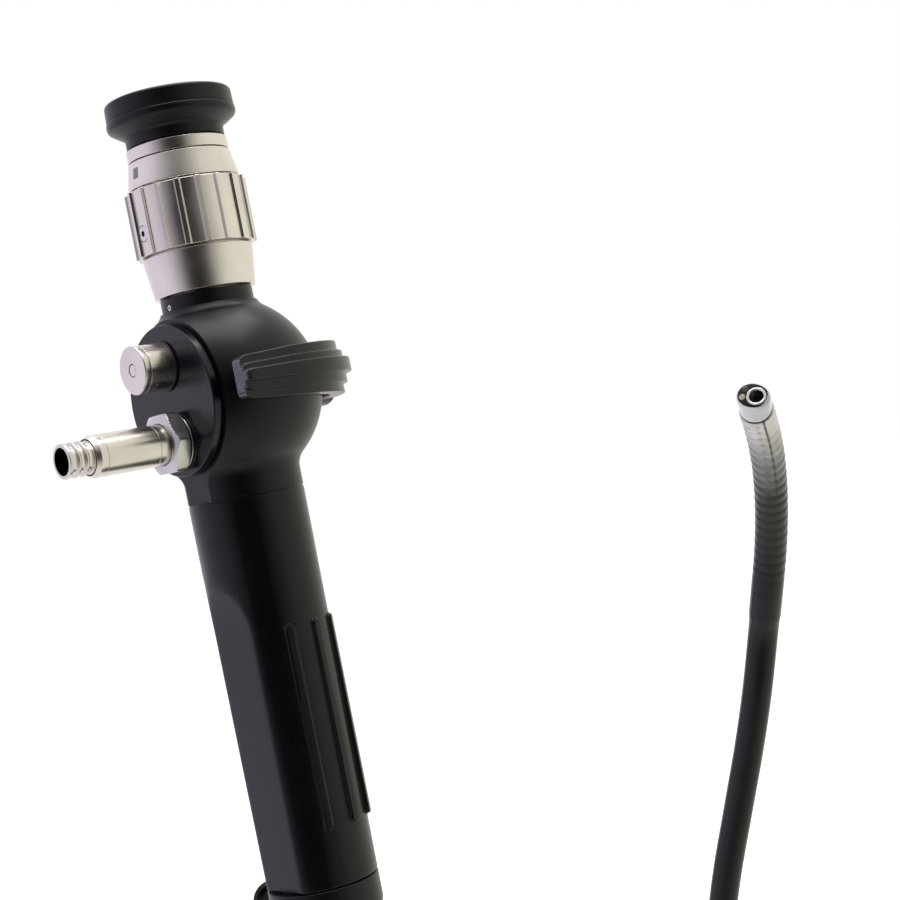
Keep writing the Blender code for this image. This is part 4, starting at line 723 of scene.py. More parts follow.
plug_r, shoulder, face_round = 1.75, TIP_L / 3 + 0.3, 0.55
bend = np.radians(np.linspace(0, 90, 9))
levels = np.r_[0.3, shoulder - 0.3, shoulder, np.linspace(shoulder + 0.2, TIP_L - face_round, 8),
               TIP_L - face_round + face_round * np.sin(bend[1:]), TIP_L]
radii = np.r_[plug_r, plug_r, TIP_R - 0.1, np.full(8, TIP_R),
              TIP_R - face_round + face_round * np.cos(bend[1:]), 0]
noses = TIP_EGG * smooth(levels, shoulder, TIP_L - face_round) * (radii > 0)
tip_solid = grid_mesh("tip", placed(egg_grid(levels, radii, noses), at_tip))
print("tip rings:", len(levels))

# %% [markdown]
# Three holes go into the face: a large one for the channel and two small ones for the
# lenses. They are cut with an exact Boolean, and the pieces that sit in them have a fine
# gap all round, which shows as a dark line.

# %% Pieces of the tip
CHANNEL_R, CHANNEL_WALL, CHANNEL_RIM, CHANNEL_OFFSET = 1.2, 0.25, 0.48, 0.75
LENS_R, LENS_DEEP, LENS_OFFSET, LENS_SPREAD = 0.55, 1.2, 1.5, 0.75
HOLE_GAP = 0.06  # round the pieces that sit in the face


def beside(place, x, y):
    """A place moved across its own Z by x and y in mm."""
    return place @ Matrix.Translation((x * MM, y * MM, 0))


at_mouth = beside(at_tip, CHANNEL_OFFSET, 0)
at_objective = beside(at_tip, -LENS_OFFSET, LENS_SPREAD)
at_light = beside(at_tip, -LENS_OFFSET, -LENS_SPREAD)
tip_body = piece("tip_shell", cut(
    tip_solid,
    rod(CHANNEL_R + CHANNEL_WALL, -TIP_L, TIP_L / 2 + 0.3, at_tip),
    rod(CHANNEL_R + CHANNEL_RIM + HOLE_GAP, TIP_L / 2, 2 * TIP_L, at_mouth),
    *[rod(LENS_R + HOLE_GAP, TIP_L - LENS_DEEP - 0.1, 2 * TIP_L, place)
      for place in (at_objective, at_light)],
), tip_grey, "tip", "tip_body")
print("face of the tip:", paint(
    tip_body, dark_metal, lambda r, x, y, z: (z > TIP_L - 0.12) & (r < 2.6), at_tip))
mouth = turned("channel_rim", (
    (CHANNEL_R, TIP_L / 2 + 0.3), (CHANNEL_R + CHANNEL_RIM, TIP_L / 2 + 0.3),
    (CHANNEL_R + CHANNEL_RIM, TIP_L + 0.1, 0.14), (CHANNEL_R, TIP_L + 0.1, 0.2),
), steel_bright, "tip", "channel_mouth", place=at_mouth, sides=72)
lens_foot = TIP_L - LENS_DEEP
lens_corners = (0, lens_foot), (LENS_R, lens_foot), (LENS_R, TIP_L - 0.02, 0.08), (0, TIP_L)
objective, light_end = (
    turned(name, lens_corners, look, "tip", node, place=place, sides=40)
    for name, look, node, place in (
        ("front_lens", dark_glass, "objective_lens", at_objective),
        ("light_window", fibre, "light_lens", at_light),
    )
)
print("tip pieces:", tip_body.name, mouth.name, objective.name, light_end.name)

# %% Cord: the insertion tube above
print("the cord is the insertion tube above")

# %% [markdown]
# ## Eyecup, window and barrels
# All of these are turned on a lathe, so each is one profile carried round the axis. The
# heights count from the middle of the ball below them, which is where the lever swings.

# %% Turned pieces
eyecup = turned("eyecup_shell", (
    (10.3, 61.9), (12.0, 61.9, 0.3), (12.0, 64.6, 1.5), (15.8, 67.1, 1.7),
    (15.8, 68.7, 0.5), (15.4, 68.95, 0.12), (15.62, 69.2, 0.12), (15.5, 73.3, 1.1),
    (13.8, 73.3, 0.8), (9.2, 68.9, 1.2), (8.2, 68.9, 0.15), (8.2, 67.0), (6.9, 67.0),
    (6.9, 65.8), (10.3, 65.8),
), anodised, "handle", "eyecup", sides=192)
window = turned("eyepiece_glass", (
    (0, 67.3), (7.9, 67.3, 0.2), (7.9, 68.8, 0.2), (0, 68.8),
), glass, "handle", "eyepiece_window", sides=96)
collar = turned("barrel_collar", (
    (7.5, 60.4), (10.0, 60.4), (10.0, 58.6), (12.35, 58.6, 0.12), (12.35, 61.6, 0.35),
    (10.0, 61.6), (10.0, 65.2), (7.5, 65.2),
), nickel, "handle", "top_collar")
MARK_LOW, MARK_HIGH, MARK_HALF_W = 54.0, 56.6, 1.15  # of the etched rectangle


def cone_r(z):
    """The upper barrel's radius: it tapers evenly between its two edges."""
    return 13.7 - (z - 51.7) * (13.7 - 12.45) / (58.3 - 51.7)


upper_barrel = turned("barrel_upper", (
    (12.6, 51.7), (13.7, 51.7, 0.3), (cone_r(MARK_LOW), MARK_LOW), (cone_r(MARK_HIGH), MARK_HIGH),
    (12.45, 58.3, 0.2), (9.7, 58.3), (9.7, 59.8), (7.5, 59.8), (7.5, 57.3), (12.6, 57.3),
), nickel, "handle", "upper_barrel")
print("faces of the etched mark:", paint(
    upper_barrel, etched,
    lambda r, x, y, z: (x < -12.5) & (abs(y) < MARK_HALF_W) & (z > MARK_LOW) & (z < MARK_HIGH), AT_BALL,
))
print("ocular:", eyecup.name, window.name, collar.name, upper_barrel.name)

# %% [markdown]
# The lower barrel carries the sleeve that the focus ring turns on. A slot in the sleeve
# guides the pin of the lens carrier, so the sleeve is cut like the real one.

# %% Lower barrel


def block(low, high, place=Matrix()):
    """A box between two corners, as a tool for cuts: four corners at each of two levels."""
    x, y, z = zip(low, high)
    ring = np.array(((x[0], y[0]), (x[1], y[0]), (x[1], y[1]), (x[0], y[1])))
    grid = np.stack([np.c_[ring, np.full(4, level)] for level in z])
    return grid_mesh("block", placed(grid, place))


sleeve_mesh = lathe(profile(
    (9.0, 21.2), (9.0, 24.9), (12.25, 24.9, 0.2), (13.5, 34.9, 0.25), (12.3, 34.9),
    (12.3, 57.0), (11.0, 57.0), (11.0, 28.9), (3.3, 28.9), (3.3, 21.2), (9.0, 21.2),
), AT_BALL)
slot_tool = block((-1.05, 8.6, 40.26), (1.05, 14.2, 46.34), AT_BALL)
lower_barrel = piece("barrel_lower", cut(sleeve_mesh, slot_tool), nickel, "handle", "lower_barrel")
print("lower barrel faces:", len(lower_barrel.data.polygons))

# %% [markdown]
# ## Focus ring
# The ring turns under two fingers, so it has eighteen raised ridges. Its outside is a
# radius that depends on the angle alone. The columns of the grid stand close together on
# the flanks of the ridges and wide apart elsewhere.

# %% Focus ring
RING_LOW, RING_TALL, RING_R, RIDGE_RISE, RIDGE_W, RIDGES = 35.2, 16.2, 14.2, 0.6, 1.3, 18


def ridged_ring():
    """Radius = R + rise times (1 in the ridge, falling to 0 over each flank). The flank is
    a smooth step 0.35 mm wide. The ends are bevelled by 0.25 mm."""
    pitch = 2 * math.pi / RIDGES
    offset = np.r_[np.linspace(-1.1, -0.75, 3), np.linspace(-0.65, -0.3, 6), 0,
                   np.linspace(0.3, 0.65, 6), np.linspace(0.75, 1.1, 3)] * RIDGE_W / RING_R
    between = np.linspace(1.1 * RIDGE_W / RING_R, pitch - 1.1 * RIDGE_W / RING_R, 10)[1:-1]
    one = np.r_[offset, between]
    turn = (one[None] + pitch * (np.arange(RIDGES)[:, None] + 0.5)).ravel()
    away = np.abs((turn / pitch - 0.5 + 0.5) % 1 - 0.5) * pitch * RING_R
    rise = RIDGE_RISE * (1 - smooth(away, RIDGE_W / 2 - 0.18, RIDGE_W / 2 + 0.18))
    low, high, edge = 0.15, RING_TALL - 0.15, 0.25
    bend = np.radians(np.linspace(0, 90, 5))
    level = np.r_[low + edge - edge * np.cos(bend), high - edge + edge * np.sin(bend)]
    sunk = np.r_[edge - edge * np.sin(bend), edge - edge * np.cos(bend)]
    bore = np.full((2, len(turn)), RING_R - 1.6)
    radius = np.vstack((RING_R + rise[None] - sunk[:, None], bore))
    level = RING_LOW + np.r_[level, high, low]
    return grid_mesh("ring", placed(rings(radius, turn, level[:, None]), AT_BALL), loop=True)


SCREW_UP = RING_LOW + 5.4
at_screw = beside_ball(SCREW_UP, TO_SIDE)
ring_mesh = cut(ridged_ring(), rod(2.0, 12.9, 16, at_screw))
focus_ring = piece("focus_grip_ring", ring_mesh, nickel, "focus_ring", "focus_ring")
print("focus ring faces:", len(focus_ring.data.polygons))

# %% [markdown]
# A set screw with a hexagonal socket locks the ring. The socket is a six-sided bar taken
# out of a turned disc.

# %% Set screws


def set_screw(name, node, look, radius, low, high, place, body):
    """A disc with its edge broken and a hexagonal socket in its outer face."""
    mesh = lathe(profile((0, low), (radius, low), (radius, high, 0.12), (0, high)), place, 48, False)
    key = rod(0.42 * radius, high - 0.8 * radius, high + 1, place, 6)
    return piece(name, cut(mesh, key), look, body, node)


ring_screw = set_screw("ring_set_screw", "focus_ring_screw", steel_bright, 1.86, 13.0, 14.25,
                       at_screw, "focus_ring")
NECK_SCREW_UP = 22.2
neck_screws = [
    set_screw(f"neck_set_screw_{side}", f"neck_screw_{side}", steel, 0.8, 9.6, 11.15,
              beside_ball(NECK_SCREW_UP, turn), "handle")
    for side, turn in (("left", TO_SIDE), ("right", TO_HUB))
]
print("set screws:", ring_screw.name, len(neck_screws))

# %% [markdown]
# ## Control body
# The ball-shaped case is turned from aluminium. The neck runs into the ball with a fillet,
# and the ball runs out into the foot with another. Each fillet's centre lies where a circle
# touches both the ball and the straight part, so its height follows from Pythagoras.

# %% Case profile
BALL_R, NECK_R, FOOT_R, WALL = 23.5, 11.6, 14.2, 3.0
NECK_ROUND, FOOT_ROUND, NECK_STEP_UP = 4.0, 5.0, 21.2


def case_points():
    """The case's whole outline: step, fillet, ball, fillet, foot, and back up the cavity."""
    upper = np.array((NECK_R + NECK_ROUND, 0))
    upper[1] = math.sqrt((BALL_R + NECK_ROUND) ** 2 - upper[0] ** 2)
    lower = np.array((FOOT_R + FOOT_ROUND, 0))
    lower[1] = -math.sqrt((BALL_R + FOOT_ROUND) ** 2 - lower[0] ** 2)
    high = math.degrees(math.atan2(upper[1], upper[0]))
    low = math.degrees(math.atan2(lower[1], lower[0]))
    fillet = arc(upper, NECK_ROUND, 180, 180 + high, 24)
    fillet = fillet[fillet[:, 1] < NECK_STEP_UP - 0.25]
    edge = upper[0] - math.sqrt(NECK_ROUND**2 - (upper[1] - NECK_STEP_UP) ** 2)
    step = profile((9.3, 24.6), (11.25, 24.6, 0.15), (11.25, NECK_STEP_UP), (edge, NECK_STEP_UP, 0.08),
                   tuple(fillet[0]), steps=3)[1:-1]
    cavity = BALL_R - WALL
    inner_low = -math.degrees(math.acos(12.2 / cavity))
    inner_high = math.degrees(math.acos(9.3 / cavity))
    return np.concatenate((
        step,
        fillet,
        arc((0, 0), BALL_R, high, low, 72)[1:-1],
        arc(lower, FOOT_ROUND, 180 + low, 180, 12),
        np.array(((FOOT_R, -25.3), (FOOT_R - 0.1, -25.4), (12.2, -25.4))),
        arc((0, 0), cavity, inner_low, inner_high, 40),
        np.array(((9.3, 24.6),)),
    ))


case_solid = lathe(case_points(), AT_BALL, 192)
print("case profile points:", len(case_points()))

# %% [markdown]
# Two flats are milled on the ball: a large one for the side plate and a small one for the
# lever's shaft. A wide bar is a good tool for both, because only its end touches the case.

# %% Case
PLATE_SEAT, SHAFT_SEAT = 13.3, 22.9
side_axis, hub_axis = AT_BALL @ TO_SIDE, AT_BALL @ TO_HUB
screw_holes = [rod(0.88, 8, BALL_R, beside_ball(NECK_SCREW_UP, turn)) for turn in (TO_SIDE, TO_HUB)]
case = piece("case", cut(
    case_solid,
    rod(2 * BALL_R, PLATE_SEAT, 2 * BALL_R, side_axis),
    rod(BALL_R, SHAFT_SEAT, 2 * BALL_R, hub_axis),
    rod(4.7, BALL_R / 2, 2 * BALL_R, hub_axis),
    *screw_holes,
), anodised, "handle", "control_body")
print("case faces:", len(case.data.polygons))

# %% [markdown]
# ## Grip
# The grip is one moulding with eight low ribs and a flat down its left side. Its outside
# is a radius over two parameters, the angle and the height. The flat is a limit on that
# radius, the ribs are a rise, and smooth steps round off where they meet.

# %% Grip surface
GRIP_TOP, GRIP_FOOT = 47.3, -47.7  # heights from the origin
GRIP_R = 14.0  # nearly, for lengths round the grip
FLAT_REACH, RUN_OUT_R, RUN_OUT_FROM = 11.5, 35.0, 14.2
RIB_W, RIB_LOW, RIB_HIGH, RIB_TOP_R, RIBS = 2.8, -34.2, 15.8, 14.95, 8
RIB_TURNS = np.radians(31.0 * (np.arange(RIBS) - (RIBS - 1) / 2))


def soft_min(a, b, blend_over):
    """The lower of a and b, with the corner between them rounded: the mean, less half the
    root of the squared difference plus the squared rounding."""
    return (a + b - np.sqrt((a - b) ** 2 + blend_over**2)) / 2


def grip_radius(turn, z):
    """The taper, limited by the flat on the -X side, plus the ribs. A rib's outline is a
    stadium: a point's distance to its middle line, less half its width."""
    base = np.interp(z, (GRIP_FOOT, GRIP_TOP), (13.7, 14.2))
    climb = np.clip(z - RUN_OUT_FROM, 0, 0.95 * RUN_OUT_R)
    reach = FLAT_REACH + RUN_OUT_R - np.sqrt(RUN_OUT_R**2 - climb**2)
    facing = np.maximum(-np.cos(turn), 1e-3)
    radius = soft_min(base, reach / facing, 0.25)
    for middle in RIB_TURNS:
        across = (np.mod(turn - middle + math.pi, 2 * math.pi) - math.pi) * GRIP_R
        beyond = z - np.clip(z, RIB_LOW + RIB_W / 2, RIB_HIGH - RIB_W / 2)
        edge = np.hypot(across, beyond) - RIB_W / 2
        rise = 1 - smooth(edge, -0.55, 0.12)
        radius = radius + (RIB_TOP_R - base) * rise * (np.abs(across) < 4)
    return radius


def dense(*spans):
    """Sample points over spans (start, end, count), joined end to end."""
    return np.concatenate([np.linspace(low, high, n, endpoint=False) for low, high, n in spans])


rib_turn = RIB_TURNS.tolist()
flank = 2.2 / GRIP_R
gaps = list(zip(rib_turn[:-1], rib_turn[1:]))
corner = math.acos(FLAT_REACH / GRIP_R)
edges = [math.pi + way_out * corner + off for way_out in (-1, 1) for off in (-0.12, 0.12)]
edges = [rib_turn[-1] + flank, *edges, 2 * math.pi + rib_turn[0] - flank]
around = dense(*[(t - flank, t + flank, 22) for t in rib_turn],
               *[(a + flank, b - flank, 6) for a, b in gaps],
               *zip(edges, edges[1:], (3, 14, 16, 14, 3)))
around = np.sort(np.mod(around, 2 * math.pi))
print("columns round the grip:", len(around))

# %% [markdown]
# The rows stand close at the ends of the ribs and at the two rims. Above the grip a small
# lip fills the seam and a spigot goes up into the case. A bore of nearly even wall runs
# through the whole moulding.

# %% Grip
bend = np.radians(np.linspace(0, 90, 5))
rim = 0.3
z_rows = np.r_[GRIP_FOOT + rim - rim * np.cos(bend), dense(
    (GRIP_FOOT + rim + 1, RIB_LOW - 0.4, 8), (RIB_LOW - 0.4, RIB_LOW + 2.0, 16),
    (RIB_LOW + 2.0, RIB_HIGH - 2.0, 24), (RIB_HIGH - 2.0, RIB_HIGH + 0.4, 16),
    (RIB_HIGH + 0.4, 26.0, 16), (26.0, GRIP_TOP - rim - 1, 10),
), GRIP_TOP - rim + rim * np.sin(bend)]
level_rows = np.zeros(len(z_rows) - 2 * len(bend))
sunk = np.r_[rim - rim * np.sin(bend), level_rows, rim - rim * np.cos(bend)]
outside = grip_radius(around[None], z_rows[:, None]) - sunk[:, None]
flat_bore = np.minimum(11.1, 9.3 / np.maximum(-np.cos(around), 1e-3))
lip, spigot = (np.full(len(around), r) for r in (14.02, 11.9))
radius = np.vstack((outside, lip, lip, spigot, spigot, flat_bore, flat_bore))
height = np.r_[z_rows, GRIP_TOP + np.array((0, 0.28, 0.28, 5.6, 5.6)), GRIP_FOOT]
grip_mesh = grid_mesh("grip", rings(radius, around, height[:, None]) * MM, loop=True)
grip = piece("grip_moulding", grip_mesh, moulded, "handle", "grip")
print("grip faces:", len(grip.data.polygons))

# %% [markdown]
# ## Foot of the handle
# Under the grip a metal cone carries a slanted boss, and the port of the working channel
# screws into it. A Boolean joins the two shapes, as it does the lever and its hub later.

# %% Foot block
at_port = Matrix.Translation((0, 0, -0.0665)) @ Matrix.Rotation(math.radians(26 - 90), 4, "X")
cone = lathe(profile(
    (0, -47.72), (11.0, -47.72), (11.0, -48.0), (13.7, -48.0, 0.35), (13.7, -55.0, 6),
    (7.2, -72.0, 1.0), (0, -72.0),
), Matrix(), 128, False)
boss = lathe(profile((0, 0), (5.2, 0), (5.2, 18.4, 0.8), (0, 18.4)), at_port, 72, False)
foot_mesh = cut(combined("UNION", cone, boss), rod(3.7, 5.0, 30, at_port))
foot = piece("foot_cone", foot_mesh, anodised, "handle", "channel_block")
print("foot faces:", len(foot.data.polygons))

# %% [markdown]
# The port is a lock fitting with a full flange, which takes a cap or a syringe. The strain
# relief below is soft rubber with grooves that let it bend evenly.

# %% Port and strain relief
port = turned("port_fitting", (
    (0, 5.3), (3.4, 5.3, 0.3), (3.4, 18.7), (5.2, 18.7, 0.3), (5.2, 20.4, 0.6),
    (3.0, 21.4, 0.9), (3.0, 27.8, 0.3), (4.0, 28.4, 0.25), (4.0, 30.0, 0.35),
    (2.1, 30.0, 0.2), (2.1, 21.0), (0, 21.0),
), dark_metal, "handle", "channel_port", place=at_port, sides=96)
RELIEF_TOP, RELIEF_FOOT, GROOVES = -72.3, -104.3, 4
pitch = 2 * (RELIEF_TOP - RELIEF_FOOT) / (2 * GROOVES + 3)


def relief_r(z, sunk=0.0):
    """The strain relief's taper, less what a groove takes."""
    return float(np.interp(z, (RELIEF_FOOT, RELIEF_TOP), (3.9, 6.3))) - sunk


corners = [(0, RELIEF_TOP), (6.3, RELIEF_TOP, 0.5)]
for k in range(GROOVES):
    high, low = RELIEF_TOP - pitch * (k + 1), RELIEF_TOP - pitch * (k + 1.5)
    corners += [(relief_r(high), high, 0.35), (relief_r(high, 0.75), high - 0.35, 0.35),
                (relief_r(low, 0.75), low + 0.35, 0.35), (relief_r(low), low, 0.35)]
corners += [(3.85, RELIEF_FOOT, 0.5), (3.1, RELIEF_FOOT, 0.15), (3.1, -96.3), (0, -96.3)]
relief = turned("strain_sleeve", corners, rubber, "handle", "strain_relief", place=Matrix(), sides=96)
print("port and strain relief:", port.name, relief.name)

# %% [markdown]
# ## Side plate
# A round cover closes the case over the pull-wire drum. Its edge is broken by a small
# chamfer that catches the light all the way round.

# %% Side plate
LEAK_RISE, LIGHT_DROP, PLATE_FACE = 8.5, 9.8, 15.8
leak_axis, light_axis = beside_ball(LEAK_RISE, TO_SIDE), beside_ball(-LIGHT_DROP, TO_SIDE)
cover = lathe(profile(
    (0, 11.7), (14.2, 11.7), (14.2, 14.4), (17.6, 14.4), (17.6, 13.5), (18.3, 13.5, 0.15),
    (18.3, PLATE_FACE, 0.35), (0, PLATE_FACE),
), side_axis, 192, False)
side_plate = piece("side_cover", cut(
    cover, rod(3.3, 0, 30, leak_axis), rod(4.3, 0, 30, light_axis),
), anodised_gloss, "handle", "side_plate")
print("side plate faces:", len(side_plate.data.polygons))

# %% [markdown]
# ## Leak-test connector
# Before washing, air is pumped in here and the scope is held under water. The connector
# is a body with a small vent, a cap with a ring groove in its face, and a sprung pin.

# %% Leak-test connector
leak_body = lathe(profile(
    (1.4, 11.7), (3.0, 11.7), (3.0, 15.95), (6.1, 15.95, 0.1), (6.1, 16.4, 0.15), (5.7, 16.4),
    (5.7, 22.72, 0.1), (3.9, 22.72), (3.9, 17.4), (1.4, 17.4),
), leak_axis)
vent_axis = leak_axis @ Matrix.Translation((0, 0, 20.5 * MM)) @ TO_HUB
leak_port = piece("leak_body", cut(leak_body, rod(0.6, 2.9, 8, vent_axis)), nickel_turned,
                  "handle", "leak_port_body")
leak_cap = turned("leak_cap", (
    (1.6, 22.0), (3.6, 22.0), (3.6, 22.78), (5.75, 22.78, 0.1), (5.85, 24.5, 0.4), (1.6, 24.5, 0.08),
), nickel, "handle", "leak_port_cap", place=leak_axis)
leak_pin = turned("leak_pin", (
    (0, 18.6), (1.1, 18.6), (1.1, 21.1), (2.9, 21.1), (2.9, 21.7), (1.42, 21.7),
    (1.42, 24.42, 0.15), (0, 24.42),
), nickel, "leak_pin", "leak_valve_pin", place=leak_axis, sides=64)
print("washer faces:", paint(leak_port, rubber, lambda r, x, y, z: (z < 16.5) & (r > 5.75), leak_axis))
print("leak-test connector:", leak_port.name, leak_cap.name, leak_pin.name)

# %% [markdown]
# ## Light-guide post
# The light cable screws on here. A hexagonal nut clamps the post to the case. Its outline
# is a hexagon, and a turned chamfer takes off its corners, which leaves the curved edges of
# every real nut. Both limits are radii over the angle, so the nut is one grid as well.

# %% Nut
NUT_LOW, NUT_HIGH, NUT_ACROSS, NUT_CHAMFER = 16.7, 21.1, 14.0, 0.9


def nut_grid():
    """The radius is half the width across flats over the cosine of the angle from the
    middle of the flat, and at most the chamfer cone's radius at that height."""
    turn = dense(*[(math.radians(60 * k - 30), math.radians(60 * k + 30), 28) for k in range(6)])
    off = np.mod(turn, math.pi / 3)
    off = np.minimum(off, math.pi / 3 - off)
    flat = NUT_ACROSS / 2 / np.cos(off)
    flat = soft_min(flat, NUT_ACROSS / 2 / math.cos(math.pi / 6) - 0.12, 0.15)
    inside = NUT_ACROSS / 2 - NUT_CHAMFER / 2
    depth = np.r_[0, np.linspace(0.05, 0.8, 12)]
    cone = inside + depth / math.tan(math.radians(30))
    level = np.r_[NUT_LOW + depth, NUT_HIGH - depth[::-1]]
    limit = np.r_[cone, cone[::-1]][:, None]
    radius = np.vstack((np.minimum(flat, limit), np.full((2, len(turn)), 5.1)))
    level = np.r_[level, NUT_HIGH, NUT_LOW]
    return rings(radius, turn, level[:, None])


nut_mesh = grid_mesh("nut", placed(nut_grid(), light_axis), loop=True)
nut = piece("post_nut", nut_mesh, steel, "handle", "light_post_nut")
print("nut faces:", len(nut.data.polygons))

# %% [markdown]
# The post is a tube with fine grooves turned into it, and the nipple at its end has two
# bold threads. The bore of both is blackened, so that no stray light comes back.

# %% Post and nipple
POST_END, NIPPLE_END = 40.6, 47.2
grooves = []
for at in (23.6, 37.6):
    grooves += [(4.95, at, 0.02), (4.82, at + 0.06), (4.82, at + 0.18), (4.95, at + 0.24, 0.02)]
post = turned("post_tube", (
    (3.2, 11.7), (4.0, 11.7), (4.0, 15.9), (6.8, 15.9, 0.1), (6.8, 16.4, 0.15), (4.95, 16.4),
    *grooves, (4.95, POST_END - 1.1, 0.2), (4.45, POST_END, 0.1), (4.3, POST_END),
    (4.3, POST_END - 4.6), (3.2, POST_END - 4.6),
), nickel_turned, "handle", "light_post", place=light_axis)
threads = []
for at in (41.9, 43.9):
    threads += [(3.45, at, 0.1), (4.1, at + 0.5, 0.1), (4.1, at + 0.85, 0.1), (3.45, at + 1.35, 0.1)]
nipple = turned("post_nipple", (
    (3.2, 36.3), (4.0, 36.3), (4.0, POST_END + 0.1, 0.1), (3.45, POST_END + 0.3, 0.1), *threads,
    (3.45, 46.1, 0.1), (4.1, 46.4, 0.1), (4.1, NIPPLE_END, 0.25), (3.2, NIPPLE_END, 0.12),
), nickel_turned, "handle", "light_post_nipple", place=light_axis)


def in_bore(r, x, y, z):
    return r < 3.3


print("bore faces:", [paint(made, dark_metal, in_bore, light_axis) for made in (post, nipple)])

# %% [markdown]
# ## Lever
# The thumb lever is a moulded band that runs from its hub round the ball and ends in a
# thumb rest. Its section has five steps, so that the thumb doesn't slip. The section is
# carried along an arc and then along a straight line, and gets lower towards the end.

# %% Lever band
TIERS = ((2.4, 28.6), (2.5, 29.7), (3.5, 31.2), (1.9, 29.7), (2.5, 28.6))  # height, reach
LEVER_INNER_R, LEVER_RISE, LEVER_END, LEVER_TAIL, END_ROUND = 24.7, 1.0, 14.0, 16.0, 2.4
END_SHRINK = np.array((0.30, 0.40))  # share of reach and height that the end loses
ARC_ROWS, ARC_SHARE = 72, 0.6  # of the lever's way out, the arc takes this share
LEVER_TALL, LEVER_SLIM = 1.04, 0.78  # share of the section's height at the hub and at the end


def lever_section():
    """The stepped outline in (reach, height), with every step's edge rounded."""
    total = sum(height for height, _ in TIERS)
    level = LEVER_RISE - total / 2
    corners = [(LEVER_INNER_R, level + total, 0.5), (LEVER_INNER_R, level, 0.5)]
    for height, reach in TIERS:
        corners += [(reach, level, 0.3), (reach, level + height, 0.42)]
        level += height
    return profile(*corners, steps=5)


def lever_grid():
    """Each station has a base point and an outward direction in the plane of the hub:
    base + direction times reach. At the end the section shrinks towards its middle by
    END_SHRINK times (1 - cos b), while the run goes on by END_ROUND times sin b."""
    section = lever_section()
    middle = section.mean(axis=0)
    turn = np.radians(np.linspace(LEVER_TAIL, -90, ARC_ROWS))
    bend = np.radians(np.linspace(0, 90, 9))[1:]
    straight = np.linspace(0, LEVER_END - END_ROUND, 12)[1:]
    run = np.r_[np.zeros(ARC_ROWS), straight, LEVER_END - END_ROUND + END_ROUND * np.sin(bend)]
    slim = np.r_[np.zeros(ARC_ROWS + len(straight)), 1 - np.cos(bend)]
    facing = np.r_[turn, np.full(len(run) - ARC_ROWS, -math.pi / 2)]
    shape = middle + (section - middle)[None] * (1 - END_SHRINK * slim[:, None, None])
    reach, level = shape[..., 0], shape[..., 1]
    way_out = np.r_[np.linspace(0, ARC_SHARE, ARC_ROWS),
                    ARC_SHARE + (1 - ARC_SHARE) * run[ARC_ROWS:] / run[-1]]
    share = smooth(way_out, 0.1, 1.1)
    tall = LEVER_TALL + (LEVER_SLIM - LEVER_TALL) * share[:, None]
    level = LEVER_RISE + (level - LEVER_RISE) * tall
    x = -run[:, None] + np.cos(facing)[:, None] * reach
    y = np.sin(facing)[:, None] * reach
    return np.stack((x, y, level), axis=2)


lever_band = grid_mesh("lever", placed(lever_grid(), AT_BALL))
print("lever stations and section:", lever_grid().shape[:2])

# %% [markdown]
# The hub is a disc on the shaft, joined to the band. The end of the thumb rest has the
# rough finish of the mould's parting face, and its pale lilac tone is a painted reflection of
# the light from the left, so those faces get a material of their own.

# %% Lever
hub_disc = lathe(profile((0, 24.5), (7.0, 24.5, 0.4), (7.0, 29.4, 0.7), (0, 29.4)), hub_axis, 96, False)
lever_mesh = cut(combined("UNION", lever_band, hub_disc),
                 rod(2.8, 20, 40, hub_axis), rod(4.9, 28.1, 40, hub_axis))
lever = piece("thumb_lever", lever_mesh, nylon, "lever", "lever")
# Painted reflection: the pale lilac between the dark speckles stands for the light from the left.
rough_end_and_sheen = dotted_finish("nylon, rough parting face with painted sheen", "#413f4c", "#17161d", 0.4)
print("faces of the rough end:", paint(lever, rough_end_and_sheen, lambda r, x, y, z: x < -(LEVER_END - 0.5)))
screw_disc = lathe(profile((0, 28.4), (4.6, 28.4), (4.6, 29.7, 0.35), (0, 29.7)), hub_axis, 72, False)
piece("lever_cap_screw", cut(screw_disc, block((-6, -0.4, 29.0), (6, 0.4, 31), hub_axis)),
      steel_bright, "lever", "lever_screw")
print("lever faces:", len(lever.data.polygons))

# %% [markdown]
# ## Pieces that keep the frame's shape
# The mechanism inside is seen only through gaps and bores, and its shapes are already
# right. Those pieces keep their mesh and get their finish here.

# %% Finishes of the inner pieces
inner_looks = {
    steel: ("leak_valve_spring", "image_bundle_ferrule", "coil_pipe_up", "coil_pipe_down",
            "lever_shaft", "pull_wire_up", "pull_wire_down", "base_ring",
            *[f"bending_link_{k:02d}" for k in range(1, len(hinges) + 1)]),
    brass: ("shaft_bush", "wire_drum", "lens_carrier"),
    rubber: ("plate_gasket",),
    glass: ("ocular_lens",),
    fibre: ("light_guide", "image_bundle"),
    ptfe: ("working_channel",),
}
for look, names in inner_looks.items():
    for name in names:
        for material_slot in frame["nodes"][name].material_slots:
            material_slot.material = look
print("inner pieces:", sum(len(names) for names in inner_looks.values()))

# %% [markdown]
# ## Floor, light and background
# The floor is white and keeps a soft shadow. The world is white to the camera. In
# reflections it is dark behind the camera, cool on its left and warm on its right, like the
# studio of the photograph, which gives the metal its contrast. Three soft lamps light it.

